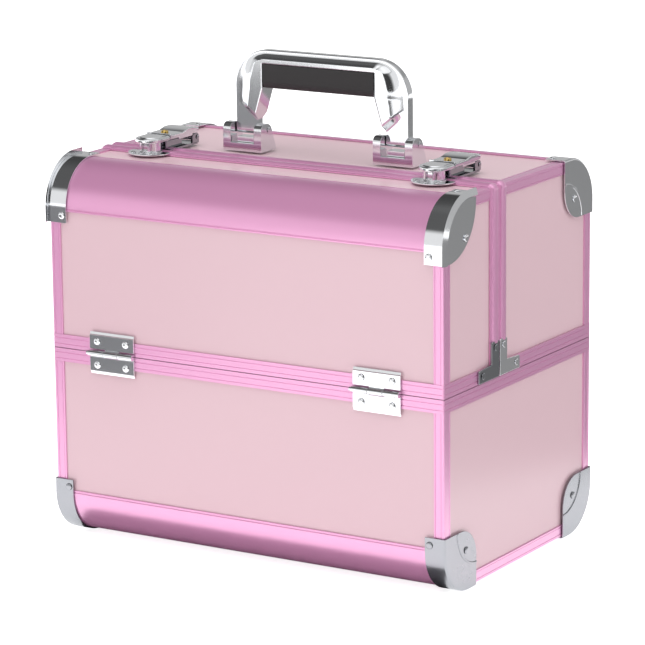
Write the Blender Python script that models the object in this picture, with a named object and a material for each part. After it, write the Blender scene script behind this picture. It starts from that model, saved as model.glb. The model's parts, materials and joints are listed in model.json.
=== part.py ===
"""Makeup train case: a lower box with two lids that swing apart from a split across its top.

Metres, +Z up, +X to the right, the front faces -Y. The origin is on the ground under the middle of
the case. Everything is placed in the closed position, and each moving piece hangs from an empty on
its own axis.
"""

import math
from dataclasses import dataclass

import bmesh
import bpy
from mathutils import Matrix, Vector

# ---------------------------------------------------------------- driving dimensions
CASE_WIDTH = 0.360
CASE_DEPTH = 0.240
CASE_TOP = 0.3085
SEAM_HEIGHT = 0.158
FRONT_LID_DEPTH = 0.084
CORNER_ROUND = 0.0365

GAP = 0.0003
SHEET = 0.0012
BOARD = 0.005
RIM_BAND = 0.0108
EDGE_BAND = 0.0092
SPLIT_BAND = 0.0115
BOTTOM_BAND = 0.0100
WEB = 0.0077
ROLL_LIP = 0.0015
ARC_STEPS = 12

CAP_SHEET = 0.0010
CAP_STRIP = 0.0165
CAP_REACH = 0.0478
CAP_INNER_ROUND = 0.024
CAP_INNER_ROUND_LARGE = 0.044
RIVET_RADIUS = 0.0029
RIVET_HEIGHT = 0.0014
RIVET_TOP_RADIUS = 0.0016
CAP_RIVET_SIDE = 0.0315
CAP_RIVET_ALONG = 0.0418
CAP_RIVET_IN = 0.0040

JOINER_SHEET = 0.0010
JOINER_ARM = 0.0115
JOINER_HEIGHT = 0.0290
JOINER_TOE = 0.0320
JOINER_TOE_HEIGHT = 0.0092
JOINER_TOE_RIVET = (0.0262, 0.0052)
JOINER_ARM_RIVET = (0.0063, 0.0241)

HINGE_X = 0.122
HINGE_LENGTH = 0.042
HINGE_SHEET = 0.0012
HINGE_LEAF = 0.0160
HINGE_BARREL = 0.0026
HINGE_PIN = 0.0011
HINGE_PIN_PROUD = 0.0025
HINGE_MIDDLE = 0.014
HINGE_BORE_CLEARANCE = 0.00015
HINGE_NOTCH = 0.0032
HINGE_RIVET_X = 0.0138
HINGE_RIVET_Z = 0.0096

HANDLE_X = 0.070
HANDLE_FROM_SPLIT = 0.041
HANDLE_PIVOT = 0.0170
HANDLE_RISE = 0.0825
HANDLE_HALF_WIDTH = 0.0803
HANDLE_CORNER = 0.030
HANDLE_TOP_BAR = 0.0103
HANDLE_LEG_TOP = 0.0285
HANDLE_LEG_FOOT = 0.0206
HANDLE_DEPTH = 0.0180
HANDLE_FOOT_DEPTH = 0.0076
HANDLE_FOOT_ROUND = 0.0038
HANDLE_LEG_ROOM = 0.0060
HANDLE_KNEE = 0.0090
HANDLE_CROWN = 0.0063
GRIP_HEIGHT = 0.0200
GRIP_DEPTH = 0.0186
HANDLE_PIN = 0.0020
HANDLE_PIN_ROOT = 0.0060
HANDLE_PIN_SEAT = 0.0046
HANDLE_PIN_CLEARANCE = 0.0002
GRIP_ROUND = 0.0070
BRACKET_WIDTH = 0.0362
BRACKET_EAR = 0.0071
BRACKET_FOOT_DEPTH = 0.0230
BRACKET_TOP_DEPTH = 0.0110
BRACKET_HEIGHT = 0.0225
BRACKET_FLOOR = 0.0030
BRACKET_LIP = 0.0085
BRACKET_LIP_SHEET = 0.0022
BRACKET_LIP_SETBACK = 0.0012
BRACKET_LIP_BAR = 0.0018
BRACKET_WINDOW = 0.0140
BRACKET_WINDOW_LOW = 0.0035

LATCH_X = 0.131
LATCH_WIDTH = 0.0236
LATCH_SHEET = 0.0012
LATCH_UNDER = 0.0095
LATCH_COVER = 0.0050
LATCH_RAISE = 0.0010
LATCH_NOSE_LENGTH = 0.0230
LATCH_LEVER_BACK = 0.0038
LATCH_PIVOT_FROM_SPLIT = 0.0400
LATCH_PIVOT_RISE = 0.0060
LATCH_PIN = 0.0015
LATCH_EAR = 0.0020
LATCH_BASE_INSET = 0.0008
LATCH_BASE_BACK = 0.0035
LATCH_HOUSING_HALF = 0.0068
LATCH_HOUSING_FROM_SPLIT = 0.0240
LATCH_HOUSING_GAP = 0.0012
LATCH_RAISED_HALF = 0.0101
LATCH_RAISED_FROM_SPLIT = 0.0235
LATCH_RAISED_SETBACK = 0.0012
LATCH_PIN_CLEARANCE = 0.0002
LATCH_EAR_ROUND = LATCH_UNDER - LATCH_PIVOT_RISE - GAP
LATCH_PART_GAP = 0.0006
DRUM_RADIUS = 0.0085
CATCH_PLATE_RADIUS = 0.0185
CATCH_PLATE_OUT = 0.0010
CATCH_PLATE_TAIL = 0.0102
CATCH_SCREW_CIRCLE = 0.0149
CATCH_SCREW_TURNS = (-125, -90, -55)
SCREW_RADIUS = 0.0023
SCREW_TOP_RADIUS = 0.0017
SCREW_HEIGHT = 0.0008
KEY_FROM_SPLIT = 0.0090
KEY_RADIUS = 0.0030
KEY_BORE_CLEARANCE = 0.0002
KEY_DEPTH = 0.0045
KEY_PROUD = 0.0004
KEY_SLOT = 0.0009
KEY_SLOT_REACH = 0.0019
KEY_SLOT_DEPTH = 0.0024

TRAY_WALL = 0.0020
TRAY_HEIGHT = 0.0320
TRAY_END_GAP = 0.0055
TRAY_PIN_RISE = 0.0120
FRONT_TRAYS_FROM_WALL = (0.018, 0.015)
FRONT_TRAYS_FROM_SPLIT = (0.004, 0.009)
REAR_TRAYS_FROM_SPLIT = (0.007, 0.011)
REAR_TRAYS_FROM_WALL = (0.020, 0.017)

ARM_PIVOT_BELOW_SEAM = 0.010
ARM_LEAN = math.radians(12.0)
ARM_LONG = 0.102
ARM_SHORT = 0.052
ARM_HALF_WIDTH = 0.0060
ARM_SHEET = 0.0020
ARM_TRAY_GAP = 0.0005
ARM_PIN = 0.0025
ARM_PIN_CLEARANCE = 0.0002
ARM_PIN_SEAT = 0.0030
FRONT_ARMS_FROM_WALL = (0.028, 0.052)
REAR_ARMS_FROM_WALL = (0.028, 0.068)

# ---------------------------------------------------------------- sizes that follow
CASE_FLOOR = GAP + CAP_SHEET
HALF_WIDTH = CASE_WIDTH / 2
FRONT = -CASE_DEPTH / 2
REAR = CASE_DEPTH / 2
SPLIT_Y = FRONT + FRONT_LID_DEPTH
HANDLE_Y = SPLIT_Y + HANDLE_FROM_SPLIT
LATCH_PIVOT_Y = SPLIT_Y + LATCH_PIVOT_FROM_SPLIT
LATCH_HOUSING_REAR = SPLIT_Y + LATCH_HOUSING_FROM_SPLIT
LATCH_RAISED_REAR = SPLIT_Y + LATCH_RAISED_FROM_SPLIT
KEY_Y = SPLIT_Y + KEY_FROM_SPLIT
SKIN = SHEET + GAP
SIDE_INSIDE = HALF_WIDTH - SKIN - BOARD
HINGE_OUT = GAP + HINGE_BARREL
TOP_PLATE = CASE_TOP + GAP
BOARD_TOP = CASE_TOP - SKIN
HANDLE_AXIS_Z = CASE_TOP + HANDLE_PIVOT
COVER_LOW = TOP_PLATE + LATCH_UNDER
COVER_HIGH = COVER_LOW + LATCH_COVER
LATCH_AXIS_Z = TOP_PLATE + LATCH_PIVOT_RISE
TRAY_END = SIDE_INSIDE - TRAY_END_GAP
ARM_INNER = TRAY_END + ARM_TRAY_GAP
ARM_OUTER = ARM_INNER + ARM_SHEET
ARM_PIVOT_HEIGHT = SEAM_HEIGHT - ARM_PIVOT_BELOW_SEAM
FRONT_ARM_PIVOTS = tuple(FRONT + inward for inward in FRONT_ARMS_FROM_WALL)
REAR_ARM_PIVOTS = tuple(REAR - inward for inward in REAR_ARMS_FROM_WALL)
FRONT_TRAY_SPANS = tuple(
    (FRONT + inward, SPLIT_Y - clear)
    for inward, clear in zip(FRONT_TRAYS_FROM_WALL, FRONT_TRAYS_FROM_SPLIT)
)
REAR_TRAY_SPANS = tuple(
    (SPLIT_Y + clear, REAR - inward)
    for clear, inward in zip(REAR_TRAYS_FROM_SPLIT, REAR_TRAYS_FROM_WALL)
)
FAR = 1.0
OVER = 0.002

PARTS = None
CUTTERS = None


@dataclass(frozen=True)
class Shell:
    """One of the three boxes that the case is made of, by its outer faces."""

    name: str
    front: float
    rear: float
    low: float
    high: float
    rounds: tuple  # bottom front, bottom rear, top rear, top front


BASE = Shell("base", FRONT, REAR, CASE_FLOOR, SEAM_HEIGHT - GAP, (1, 1, 0, 0))
FRONT_LID = Shell("front_lid", FRONT, SPLIT_Y - GAP, SEAM_HEIGHT + GAP, CASE_TOP, (0, 0, 0, 1))
REAR_LID = Shell("rear_lid", SPLIT_Y + GAP, REAR, SEAM_HEIGHT + GAP, CASE_TOP, (0, 0, 1, 0))


# ---------------------------------------------------------------- scene and materials
def clear_scene():
    for obj in list(bpy.data.objects):
        bpy.data.objects.remove(obj, do_unlink=True)


def new_collection(name):
    collection = bpy.data.collections.new(name)
    bpy.context.scene.collection.children.link(collection)
    return collection


def new_material(name, colour, roughness, metallic):
    material = bpy.data.materials.new(name)
    material.use_nodes = True
    shader = material.node_tree.nodes["Principled BSDF"]
    shader.inputs["Base Color"].default_value = (*colour, 1.0)
    shader.inputs["Roughness"].default_value = roughness
    shader.inputs["Metallic"].default_value = metallic
    return material


LOOKS = {
    "laminate": ((0.80, 0.56, 0.62), 0.45, 0.0),
    "anodised": ((0.58, 0.16, 0.38), 0.30, 1.0),
    "chrome": ((0.80, 0.81, 0.83), 0.10, 1.0),
    "steel": ((0.55, 0.56, 0.58), 0.30, 1.0),
    "brass": ((0.72, 0.50, 0.16), 0.25, 1.0),
    "grip": ((0.03, 0.03, 0.03), 0.60, 0.0),
    "tray": ((0.025, 0.025, 0.028), 0.55, 0.0),
}


# ---------------------------------------------------------------- shape helpers
def keep(obj, look, parent=None):
    """File a finished piece with its own material, hung from its axis when it moves."""
    for collection in list(obj.users_collection):
        collection.objects.unlink(obj)
    PARTS.objects.link(obj)
    colour, roughness, metallic = LOOKS[look]
    obj.data.materials.clear()
    obj.data.materials.append(new_material(obj.name, colour, roughness, metallic))
    if parent is not None:
        obj.parent = parent
        obj.matrix_parent_inverse = Matrix.Translation(-parent.location)
    return obj


def set_tool(obj):
    """File a shape that only cuts or joins others."""
    for collection in list(obj.users_collection):
        collection.objects.unlink(obj)
    CUTTERS.objects.link(obj)
    obj.hide_render = True
    obj.display_type = "WIRE"
    return obj


def axis_empty(name, location):
    empty = bpy.data.objects.new(name, None)
    empty.location = location
    empty.empty_display_size = 0.02
    PARTS.objects.link(empty)
    return empty


def box(name, low, high):
    """A block between two corners, its origin at its middle."""
    low = Vector(low)
    high = Vector(high)
    bpy.ops.mesh.primitive_cube_add(size=1.0, location=(low + high) / 2)
    obj = bpy.context.object
    obj.name = name
    obj.scale = high - low
    bpy.ops.object.transform_apply(location=False, rotation=False, scale=True)
    return obj


def outline(name, points, axis, low, high):
    """A flat outline given thickness between two places along X, Y or Z.

    Points are (Y, Z) pairs for X, (X, Z) pairs for Y and (X, Y) pairs for Z.
    """
    curve = bpy.data.curves.new(name, "CURVE")
    curve.dimensions = "2D"
    curve.fill_mode = "BOTH"
    curve.extrude = abs(high - low) / 2
    spline = curve.splines.new("POLY")
    spline.points.add(len(points) - 1)
    for point, (across, up) in zip(spline.points, points):
        point.co = (across, up, 0.0, 1.0)
    spline.use_cyclic_u = True
    drawn = bpy.data.objects.new(name + "_outline", curve)
    bpy.context.scene.collection.objects.link(drawn)
    turns = {
        "X": ((0, 0, 1), (1, 0, 0), (0, 1, 0)),
        "Y": ((1, 0, 0), (0, 0, -1), (0, 1, 0)),
        "Z": ((1, 0, 0), (0, 1, 0), (0, 0, 1)),
    }
    place = Matrix(turns[axis]).to_4x4()
    place.translation = place.to_3x3() @ Vector((0, 0, (low + high) / 2))
    if axis == "Y":
        place.translation = Vector((0, (low + high) / 2, 0))
    drawn.matrix_world = place
    bpy.context.view_layer.update()
    evaluated = drawn.evaluated_get(bpy.context.evaluated_depsgraph_get())
    mesh = bpy.data.meshes.new_from_object(evaluated)
    mesh.name = name
    work = bmesh.new()
    work.from_mesh(mesh)
    bmesh.ops.remove_doubles(work, verts=work.verts, dist=0.00001)
    work.to_mesh(mesh)
    work.free()
    obj = bpy.data.objects.new(name, mesh)
    obj.matrix_world = drawn.matrix_world
    bpy.context.scene.collection.objects.link(obj)
    bpy.data.objects.remove(drawn, do_unlink=True)
    return obj


def rods(name, places, sides=12):
    """Round rods in one tool, each as (start, end, radius at start, radius at end)."""
    work = bmesh.new()
    for start, end, radius, end_radius in places:
        start = Vector(start)
        end = Vector(end)
        turn = Vector((0, 0, 1)).rotation_difference(end - start).to_matrix().to_4x4()
        bmesh.ops.create_cone(
            work,
            cap_ends=True,
            segments=sides,
            radius1=radius,
            radius2=end_radius,
            depth=(end - start).length,
            matrix=Matrix.Translation((start + end) / 2) @ turn,
        )
    mesh = bpy.data.meshes.new(name)
    work.to_mesh(mesh)
    work.free()
    obj = bpy.data.objects.new(name, mesh)
    bpy.context.scene.collection.objects.link(obj)
    return obj


def boolean(obj, tool, operation):
    modifier = obj.modifiers.new(tool.name, "BOOLEAN")
    modifier.operation = operation
    modifier.object = set_tool(tool)


def cut(obj, tool):
    boolean(obj, tool, "DIFFERENCE")


def join(obj, tool):
    boolean(obj, tool, "UNION")


def arc(centre, radius, start, end, steps=ARC_STEPS):
    """Points on a round stretch, angles in degrees."""
    points = []
    for step in range(steps + 1):
        angle = math.radians(start + (end - start) * step / steps)
        points.append((centre[0] + radius * math.cos(angle), centre[1] + radius * math.sin(angle)))
    return points


def rivet(foot, direction):
    """One rivet head standing on a plate, as an entry for rods."""
    direction = Vector(direction)
    start = Vector(foot) - direction * CAP_SHEET / 2
    end = Vector(foot) + direction * RIVET_HEIGHT
    return (start, end, RIVET_RADIUS, RIVET_TOP_RADIUS)


# ---------------------------------------------------------------- shells
def rounded_outline(y_range, z_range, radius, rounds):
    """A rectangle seen from its end, with the corners that rounds names turned at a radius."""
    front, rear = y_range
    low, high = z_range
    corners = (
        ((front, low), (1, 1), 180),
        ((rear, low), (-1, 1), 270),
        ((rear, high), (-1, -1), 0),
        ((front, high), (1, -1), 90),
    )
    points = []
    for (corner, inward, start), rounded in zip(corners, rounds):
        if rounded:
            centre = (corner[0] + inward[0] * radius, corner[1] + inward[1] * radius)
            points += arc(centre, radius, start, start + 90)
        else:
            points.append(corner)
    return points


def end_outline(shell, inset):
    """The shell seen from its end, every edge moved in by inset."""
    y_range = (shell.front + inset, shell.rear - inset)
    z_range = (shell.low + inset, shell.high - inset)
    return rounded_outline(y_range, z_range, CORNER_ROUND - inset, shell.rounds)


def window_range(shell):
    """Where the wide faces of a shell are open between its bands, as Y and Z ranges."""
    if shell is BASE:
        return (-FAR, FAR), (-FAR, shell.high - RIM_BAND)
    if shell is FRONT_LID:
        return (-FAR, shell.rear - SPLIT_BAND), (shell.low + RIM_BAND, FAR)
    return (shell.front + SPLIT_BAND, FAR), (shell.low + RIM_BAND, FAR)


def mouth_range(shell):
    """Where a shell is open to its neighbours inside its webs, as Y and Z ranges."""
    if shell is BASE:
        return (shell.front + WEB, shell.rear - WEB), (shell.high - RIM_BAND / 2, FAR)
    if shell is FRONT_LID:
        return (shell.front + WEB, FAR), (-FAR, shell.high - WEB)
    return (-FAR, shell.rear - WEB), (-FAR, shell.high - WEB)


def side_window(shell):
    """Y and Z limits of the board that shows in a shell's end."""
    front = shell.front + (SPLIT_BAND if shell is REAR_LID else EDGE_BAND)
    rear = shell.rear - (SPLIT_BAND if shell is FRONT_LID else EDGE_BAND)
    low = shell.low + (BOTTOM_BAND if shell is BASE else RIM_BAND)
    high = shell.high - (RIM_BAND if shell is BASE else BOTTOM_BAND)
    return (front, rear), (low, high)


def frame(shell, parent):
    """The folded aluminium bands along every edge of a shell."""
    name = shell.name + "_frame"
    obj = outline(name, end_outline(shell, 0.0), "X", -HALF_WIDTH, HALF_WIDTH)
    inner_half = HALF_WIDTH - SHEET
    cut(obj, outline(name + "_hollow", end_outline(shell, SHEET), "X", -inner_half, inner_half))
    window_half = HALF_WIDTH - EDGE_BAND
    (front, rear), (low, high) = window_range(shell)
    cut(obj, box(name + "_faces", (-window_half, front, low), (window_half, rear, high)))
    window = rounded_outline(*side_window(shell), CORNER_ROUND - EDGE_BAND, shell.rounds)
    cut(obj, outline(name + "_ends", window, "X", -FAR, FAR))
    mouth_half = HALF_WIDTH - WEB
    (front, rear), (low, high) = mouth_range(shell)
    cut(obj, box(name + "_mouth", (-mouth_half, front, low), (mouth_half, rear, high)))
    if shell is not BASE:
        add_joiners(obj, shell)
    return keep(obj, "anodised", parent)


def add_joiners(obj, shell):
    """L-shaped steel plates at the foot of the split, one on each end of the lid."""
    if shell is FRONT_LID:
        edge = shell.rear - 2 * GAP
        inward = -1
    else:
        edge = shell.front + 2 * GAP
        inward = 1
    low = shell.low + 2 * GAP
    points = (
        (edge, low),
        (edge + inward * JOINER_TOE, low),
        (edge + inward * JOINER_TOE, low + JOINER_TOE_HEIGHT),
        (edge + inward * JOINER_ARM, low + JOINER_ARM),
        (edge + inward * JOINER_ARM, low + JOINER_HEIGHT),
        (edge, low + JOINER_HEIGHT),
    )
    rivets = []
    for side in (-1, 1):
        face = side * (HALF_WIDTH + JOINER_SHEET)
        root = side * (HALF_WIDTH - SHEET / 2)
        plate = outline(f"{obj.name}_joiner_{side}", points, "X", min(face, root), max(face, root))
        join(obj, plate)
        for along, up in (JOINER_TOE_RIVET, JOINER_ARM_RIVET):
            rivets.append(rivet((face, edge + inward * along, low + up), (side, 0, 0)))
    join(obj, rods(obj.name + "_joiner_rivets", rivets))


def end_board(shell, side, parent, holes=()):
    name = f"{shell.name}_panel_{'right' if side > 0 else 'left'}"
    outer = side * (HALF_WIDTH - SKIN)
    inner = side * SIDE_INSIDE
    obj = outline(name, end_outline(shell, SKIN), "X", min(outer, inner), max(outer, inner))
    if holes:
        places = []
        for y, z in holes:
            start = (inner - side * OVER, y, z)
            end = (inner + side * (ARM_PIN_SEAT + GAP), y, z)
            radius = ARM_PIN + ARM_PIN_CLEARANCE
            places.append((start, end, radius, radius))
        cut(obj, rods(name + "_holes", places))
    return keep(obj, "laminate", parent)


def wall_board(shell, face, parent):
    """A flat board behind one wide face: front, rear, top or floor."""
    half = SIDE_INSIDE - GAP
    bottom_round, _, top_rear, top_front = shell.rounds
    low = shell.low + (CORNER_ROUND if bottom_round else SKIN)
    if face in ("front", "rear"):
        rounded_top = top_front if face == "front" else top_rear
        high = shell.high - (CORNER_ROUND if rounded_top else SKIN)
        if face == "front":
            near, away = shell.front + SKIN, shell.front + SKIN + BOARD
        else:
            near, away = shell.rear - SKIN - BOARD, shell.rear - SKIN
        limits = ((-half, near, low), (half, away, high))
    else:
        rounds = shell.rounds[:2] if face == "floor" else (top_front, top_rear)
        near = shell.front + (CORNER_ROUND if rounds[0] else SKIN)
        away = shell.rear - (CORNER_ROUND if rounds[1] else SKIN)
        if face == "floor":
            limits = ((-half, near, shell.low + SKIN), (half, away, shell.low + SKIN + BOARD))
        else:
            limits = ((-half, near, shell.high - SKIN - BOARD), (half, away, shell.high - SKIN))
    return keep(box(f"{shell.name}_panel_{face}", *limits), "laminate", parent)


def roll(name, shell, corner, parent):
    """The quarter-round aluminium edge between two wide boards.

    corner is (+1 or -1 for rear or front, +1 or -1 for top or bottom).
    """
    along, up = corner
    y_edge = shell.rear if along > 0 else shell.front
    z_edge = shell.high if up > 0 else shell.low
    outer = [(0.0, CORNER_ROUND + ROLL_LIP)]
    outer += arc((CORNER_ROUND, CORNER_ROUND), CORNER_ROUND, 180, 270)
    outer += [(CORNER_ROUND + ROLL_LIP, 0.0)]
    inner = [(CORNER_ROUND + ROLL_LIP, SHEET)]
    inner += arc((CORNER_ROUND, CORNER_ROUND), CORNER_ROUND - SHEET, 270, 180)
    inner += [(SHEET, CORNER_ROUND + ROLL_LIP)]
    points = [(y_edge - along * u, z_edge - up * v) for u, v in outer + inner]
    half = HALF_WIDTH - EDGE_BAND - GAP
    return keep(outline(name, points, "X", -half, half), "anodised", parent)


# ---------------------------------------------------------------- corner caps
def cap_region(reach, inner_round, proud):
    """A corner cap seen from the end, as distances in from the case's corner."""
    points = [(-proud, reach)]
    points += arc((CORNER_ROUND, CORNER_ROUND), CORNER_ROUND + proud, 180, 270)
    points.append((reach, -proud))
    centre = (reach - inner_round, reach - inner_round)
    points += arc(centre, inner_round, 0, 90)
    return points


def corner_cap(name, side, along, up, parent):
    """A pressed steel cap over one corner, with its three rivets."""
    y_edge = REAR if along > 0 else FRONT
    z_edge = CASE_TOP if up > 0 else CASE_FLOOR
    large = up > 0 and along < 0
    inner_round = CAP_INNER_ROUND_LARGE if large else CAP_INNER_ROUND

    def place(points):
        return [(y_edge - along * u, z_edge - up * v) for u, v in points]

    face = side * (HALF_WIDTH + GAP + CAP_SHEET)
    strip = side * (HALF_WIDTH - CAP_STRIP)
    region = place(cap_region(CAP_REACH, inner_round, GAP + CAP_SHEET))
    obj = outline(name, region, "X", min(face, strip), max(face, strip))
    hollow_from = strip - side * OVER
    hollow_to = side * (HALF_WIDTH + GAP)
    under = place(cap_region(CAP_REACH + OVER, OVER / 2, GAP))
    cut(obj, outline(name + "_hollow", under, "X", min(hollow_from, hollow_to), max(hollow_from, hollow_to)))
    proud = GAP + CAP_SHEET
    rivet_x = strip + side * CAP_RIVET_IN
    heads = [
        rivet((face, y_edge - along * CAP_RIVET_SIDE, z_edge - up * CAP_RIVET_SIDE), (side, 0, 0)),
        rivet((rivet_x, y_edge + along * proud, z_edge - up * CAP_RIVET_ALONG), (0, along, 0)),
    ]
    if up > 0:
        heads.append(rivet((rivet_x, y_edge - along * CAP_RIVET_ALONG, z_edge + proud), (0, 0, 1)))
    join(obj, rods(name + "_rivets", heads))
    return keep(obj, "chrome", parent)


# ---------------------------------------------------------------- hinges
def hinge_leaf(name, x, along, up, parent):
    """One leaf of a butt hinge on the seam; the lower leaf carries the pin.

    along is -1 on the front and +1 on the rear, up is +1 for the lid's leaf.
    """
    face = along * (CASE_DEPTH / 2 + GAP)
    outer = face + along * HINGE_SHEET
    axis_y = along * (CASE_DEPTH / 2 + HINGE_OUT)
    half = HINGE_LENGTH / 2
    y_low, y_high = min(face, outer), max(face, outer)
    near = SEAM_HEIGHT + up * HINGE_NOTCH
    far = SEAM_HEIGHT + up * HINGE_LEAF
    obj = box(name, (x - half, y_low, min(near, far)), (x + half, y_high, max(near, far)))
    middle = HINGE_MIDDLE / 2
    spans = ((-middle + GAP, middle - GAP),) if up > 0 else ((-half, -middle), (middle, half))
    tongue_end = SEAM_HEIGHT + up * (HINGE_NOTCH + OVER / 2)
    barrels = []
    for number, (low, high) in enumerate(spans):
        tongue = box(
            f"{name}_tongue_{number}",
            (x + low, y_low, min(SEAM_HEIGHT, tongue_end)),
            (x + high, y_high, max(SEAM_HEIGHT, tongue_end)),
        )
        join(obj, tongue)
        ends = ((x + low, axis_y, SEAM_HEIGHT), (x + high, axis_y, SEAM_HEIGHT))
        barrels.append((*ends, HINGE_BARREL, HINGE_BARREL))
    join(obj, rods(name + "_barrels", barrels, sides=16))
    if up > 0:
        radius = HINGE_PIN + HINGE_BORE_CLEARANCE
        ends = ((x - middle - OVER, axis_y, SEAM_HEIGHT), (x + middle + OVER, axis_y, SEAM_HEIGHT))
        cut(obj, rods(name + "_bore", [(*ends, radius, radius)], sides=12))
    else:
        ends = ((x - half - HINGE_PIN_PROUD, axis_y, SEAM_HEIGHT), (x + half - OVER, axis_y, SEAM_HEIGHT))
        join(obj, rods(name + "_pin", [(*ends, HINGE_PIN, HINGE_PIN)], sides=12))
    heads = []
    for shift in (-HINGE_RIVET_X, HINGE_RIVET_X):
        heads.append(rivet((x + shift, outer, SEAM_HEIGHT + up * HINGE_RIVET_Z), (0, along, 0)))
    join(obj, rods(name + "_rivets", heads))
    return keep(obj, "chrome", parent)


# ---------------------------------------------------------------- handle
def handle_bow(parent):
    """The broad bow: a flat arch cut to a side view that narrows towards its feet."""
    top = CASE_TOP + HANDLE_RISE
    foot = HANDLE_AXIS_Z - HANDLE_FOOT_ROUND
    foot_in = HANDLE_HALF_WIDTH - HANDLE_LEG_FOOT
    leg_in = HANDLE_HALF_WIDTH - HANDLE_LEG_TOP
    bar_low = top - HANDLE_TOP_BAR
    leg_low = bar_low - GRIP_HEIGHT
    corner = (HANDLE_HALF_WIDTH - HANDLE_CORNER, top - HANDLE_CORNER)
    right = [(foot_in, foot), (HANDLE_HALF_WIDTH, foot)]
    right += arc(corner, HANDLE_CORNER, 0, 90)
    left = [(-x, z) for x, z in reversed(right)]
    inner = [(-foot_in, HANDLE_AXIS_Z + HANDLE_LEG_ROOM), (-leg_in, leg_low), (-leg_in, bar_low)]
    inner += [(-x, z) for x, z in reversed(inner)]
    half_depth = HANDLE_DEPTH / 2
    obj = outline("handle_bow", right + left + inner, "Y", HANDLE_Y - half_depth, HANDLE_Y + half_depth)
    narrow = HANDLE_FOOT_DEPTH / 2
    knee_low = HANDLE_AXIS_Z + HANDLE_KNEE
    profile = arc((HANDLE_Y, HANDLE_AXIS_Z), narrow, 180, 360)
    profile += [(HANDLE_Y + narrow, knee_low), (HANDLE_Y + half_depth, leg_low)]
    profile += arc((HANDLE_Y, top - HANDLE_CROWN), half_depth, 20, 160, steps=8)
    profile += [(HANDLE_Y - half_depth, leg_low), (HANDLE_Y - narrow, knee_low)]
    boolean(obj, outline("handle_side_view", profile, "X", -FAR, FAR), "INTERSECT")
    pins = []
    reach = BRACKET_WIDTH / 2 - BRACKET_EAR + HANDLE_PIN_SEAT
    for side in (-1, 1):
        for way in (-1, 1):
            start = (side * HANDLE_X + way * HANDLE_PIN_ROOT, HANDLE_Y, HANDLE_AXIS_Z)
            end = (side * HANDLE_X + way * reach, HANDLE_Y, HANDLE_AXIS_Z)
            pins.append((start, end, HANDLE_PIN, HANDLE_PIN))
    join(obj, rods("handle_pins", pins))
    return keep(obj, "chrome", parent)


def handle_grip(parent):
    """The black grip that fills the bow under its top bar."""
    high = CASE_TOP + HANDLE_RISE - HANDLE_TOP_BAR - GAP
    half = HANDLE_HALF_WIDTH - HANDLE_LEG_TOP - GAP
    half_depth = GRIP_DEPTH / 2
    low = high - GRIP_HEIGHT
    points = arc((HANDLE_Y - half_depth + GRIP_ROUND, low + GRIP_ROUND), GRIP_ROUND, 180, 270, steps=6)
    points += arc((HANDLE_Y + half_depth - GRIP_ROUND, low + GRIP_ROUND), GRIP_ROUND, 270, 360, steps=6)
    points += [(HANDLE_Y + half_depth, high), (HANDLE_Y - half_depth, high)]
    return keep(outline("handle_grip", points, "X", -half, half), "grip", parent)


def handle_bracket(name, side, parent):
    """A U-shaped bracket with two ears and a low front lip with a window."""
    centre = side * HANDLE_X
    low = BOARD_TOP + GAP
    high = CASE_TOP + BRACKET_HEIGHT
    half = BRACKET_WIDTH / 2
    foot = BRACKET_FOOT_DEPTH / 2
    top = BRACKET_TOP_DEPTH / 2
    points = [(HANDLE_Y - foot, low), (HANDLE_Y + foot, low), (HANDLE_Y + foot, low + BRACKET_FLOOR)]
    points += arc((HANDLE_Y, high - top), top, 0, 180, steps=8)
    points += [(HANDLE_Y - foot, low + BRACKET_FLOOR)]
    obj = outline(name, points, "X", centre - half, centre + half)
    room = half - BRACKET_EAR
    floor = CASE_TOP + BRACKET_FLOOR
    lip_inner = HANDLE_Y - foot + BRACKET_LIP_SETBACK + BRACKET_LIP_SHEET
    inside = box(name + "_inside", (centre - room, lip_inner, floor), (centre + room, FAR, FAR))
    cut(obj, inside)
    over_lip = CASE_TOP + BRACKET_LIP
    cut(obj, box(name + "_over_lip", (centre - room, -FAR, over_lip), (centre + room, FAR, FAR)))
    window = BRACKET_WINDOW / 2
    window_low = CASE_TOP + BRACKET_WINDOW_LOW
    window_high = over_lip - BRACKET_LIP_BAR
    window_box = ((centre - window, -FAR, window_low), (centre + window, lip_inner + OVER, window_high))
    cut(obj, box(name + "_window", *window_box))
    seat = room + HANDLE_PIN_SEAT + GAP
    radius = HANDLE_PIN + HANDLE_PIN_CLEARANCE
    ends = ((centre - seat, HANDLE_Y, HANDLE_AXIS_Z), (centre + seat, HANDLE_Y, HANDLE_AXIS_Z))
    cut(obj, rods(name + "_bore", [(*ends, radius, radius)]))
    return keep(obj, "chrome", parent)


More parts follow.
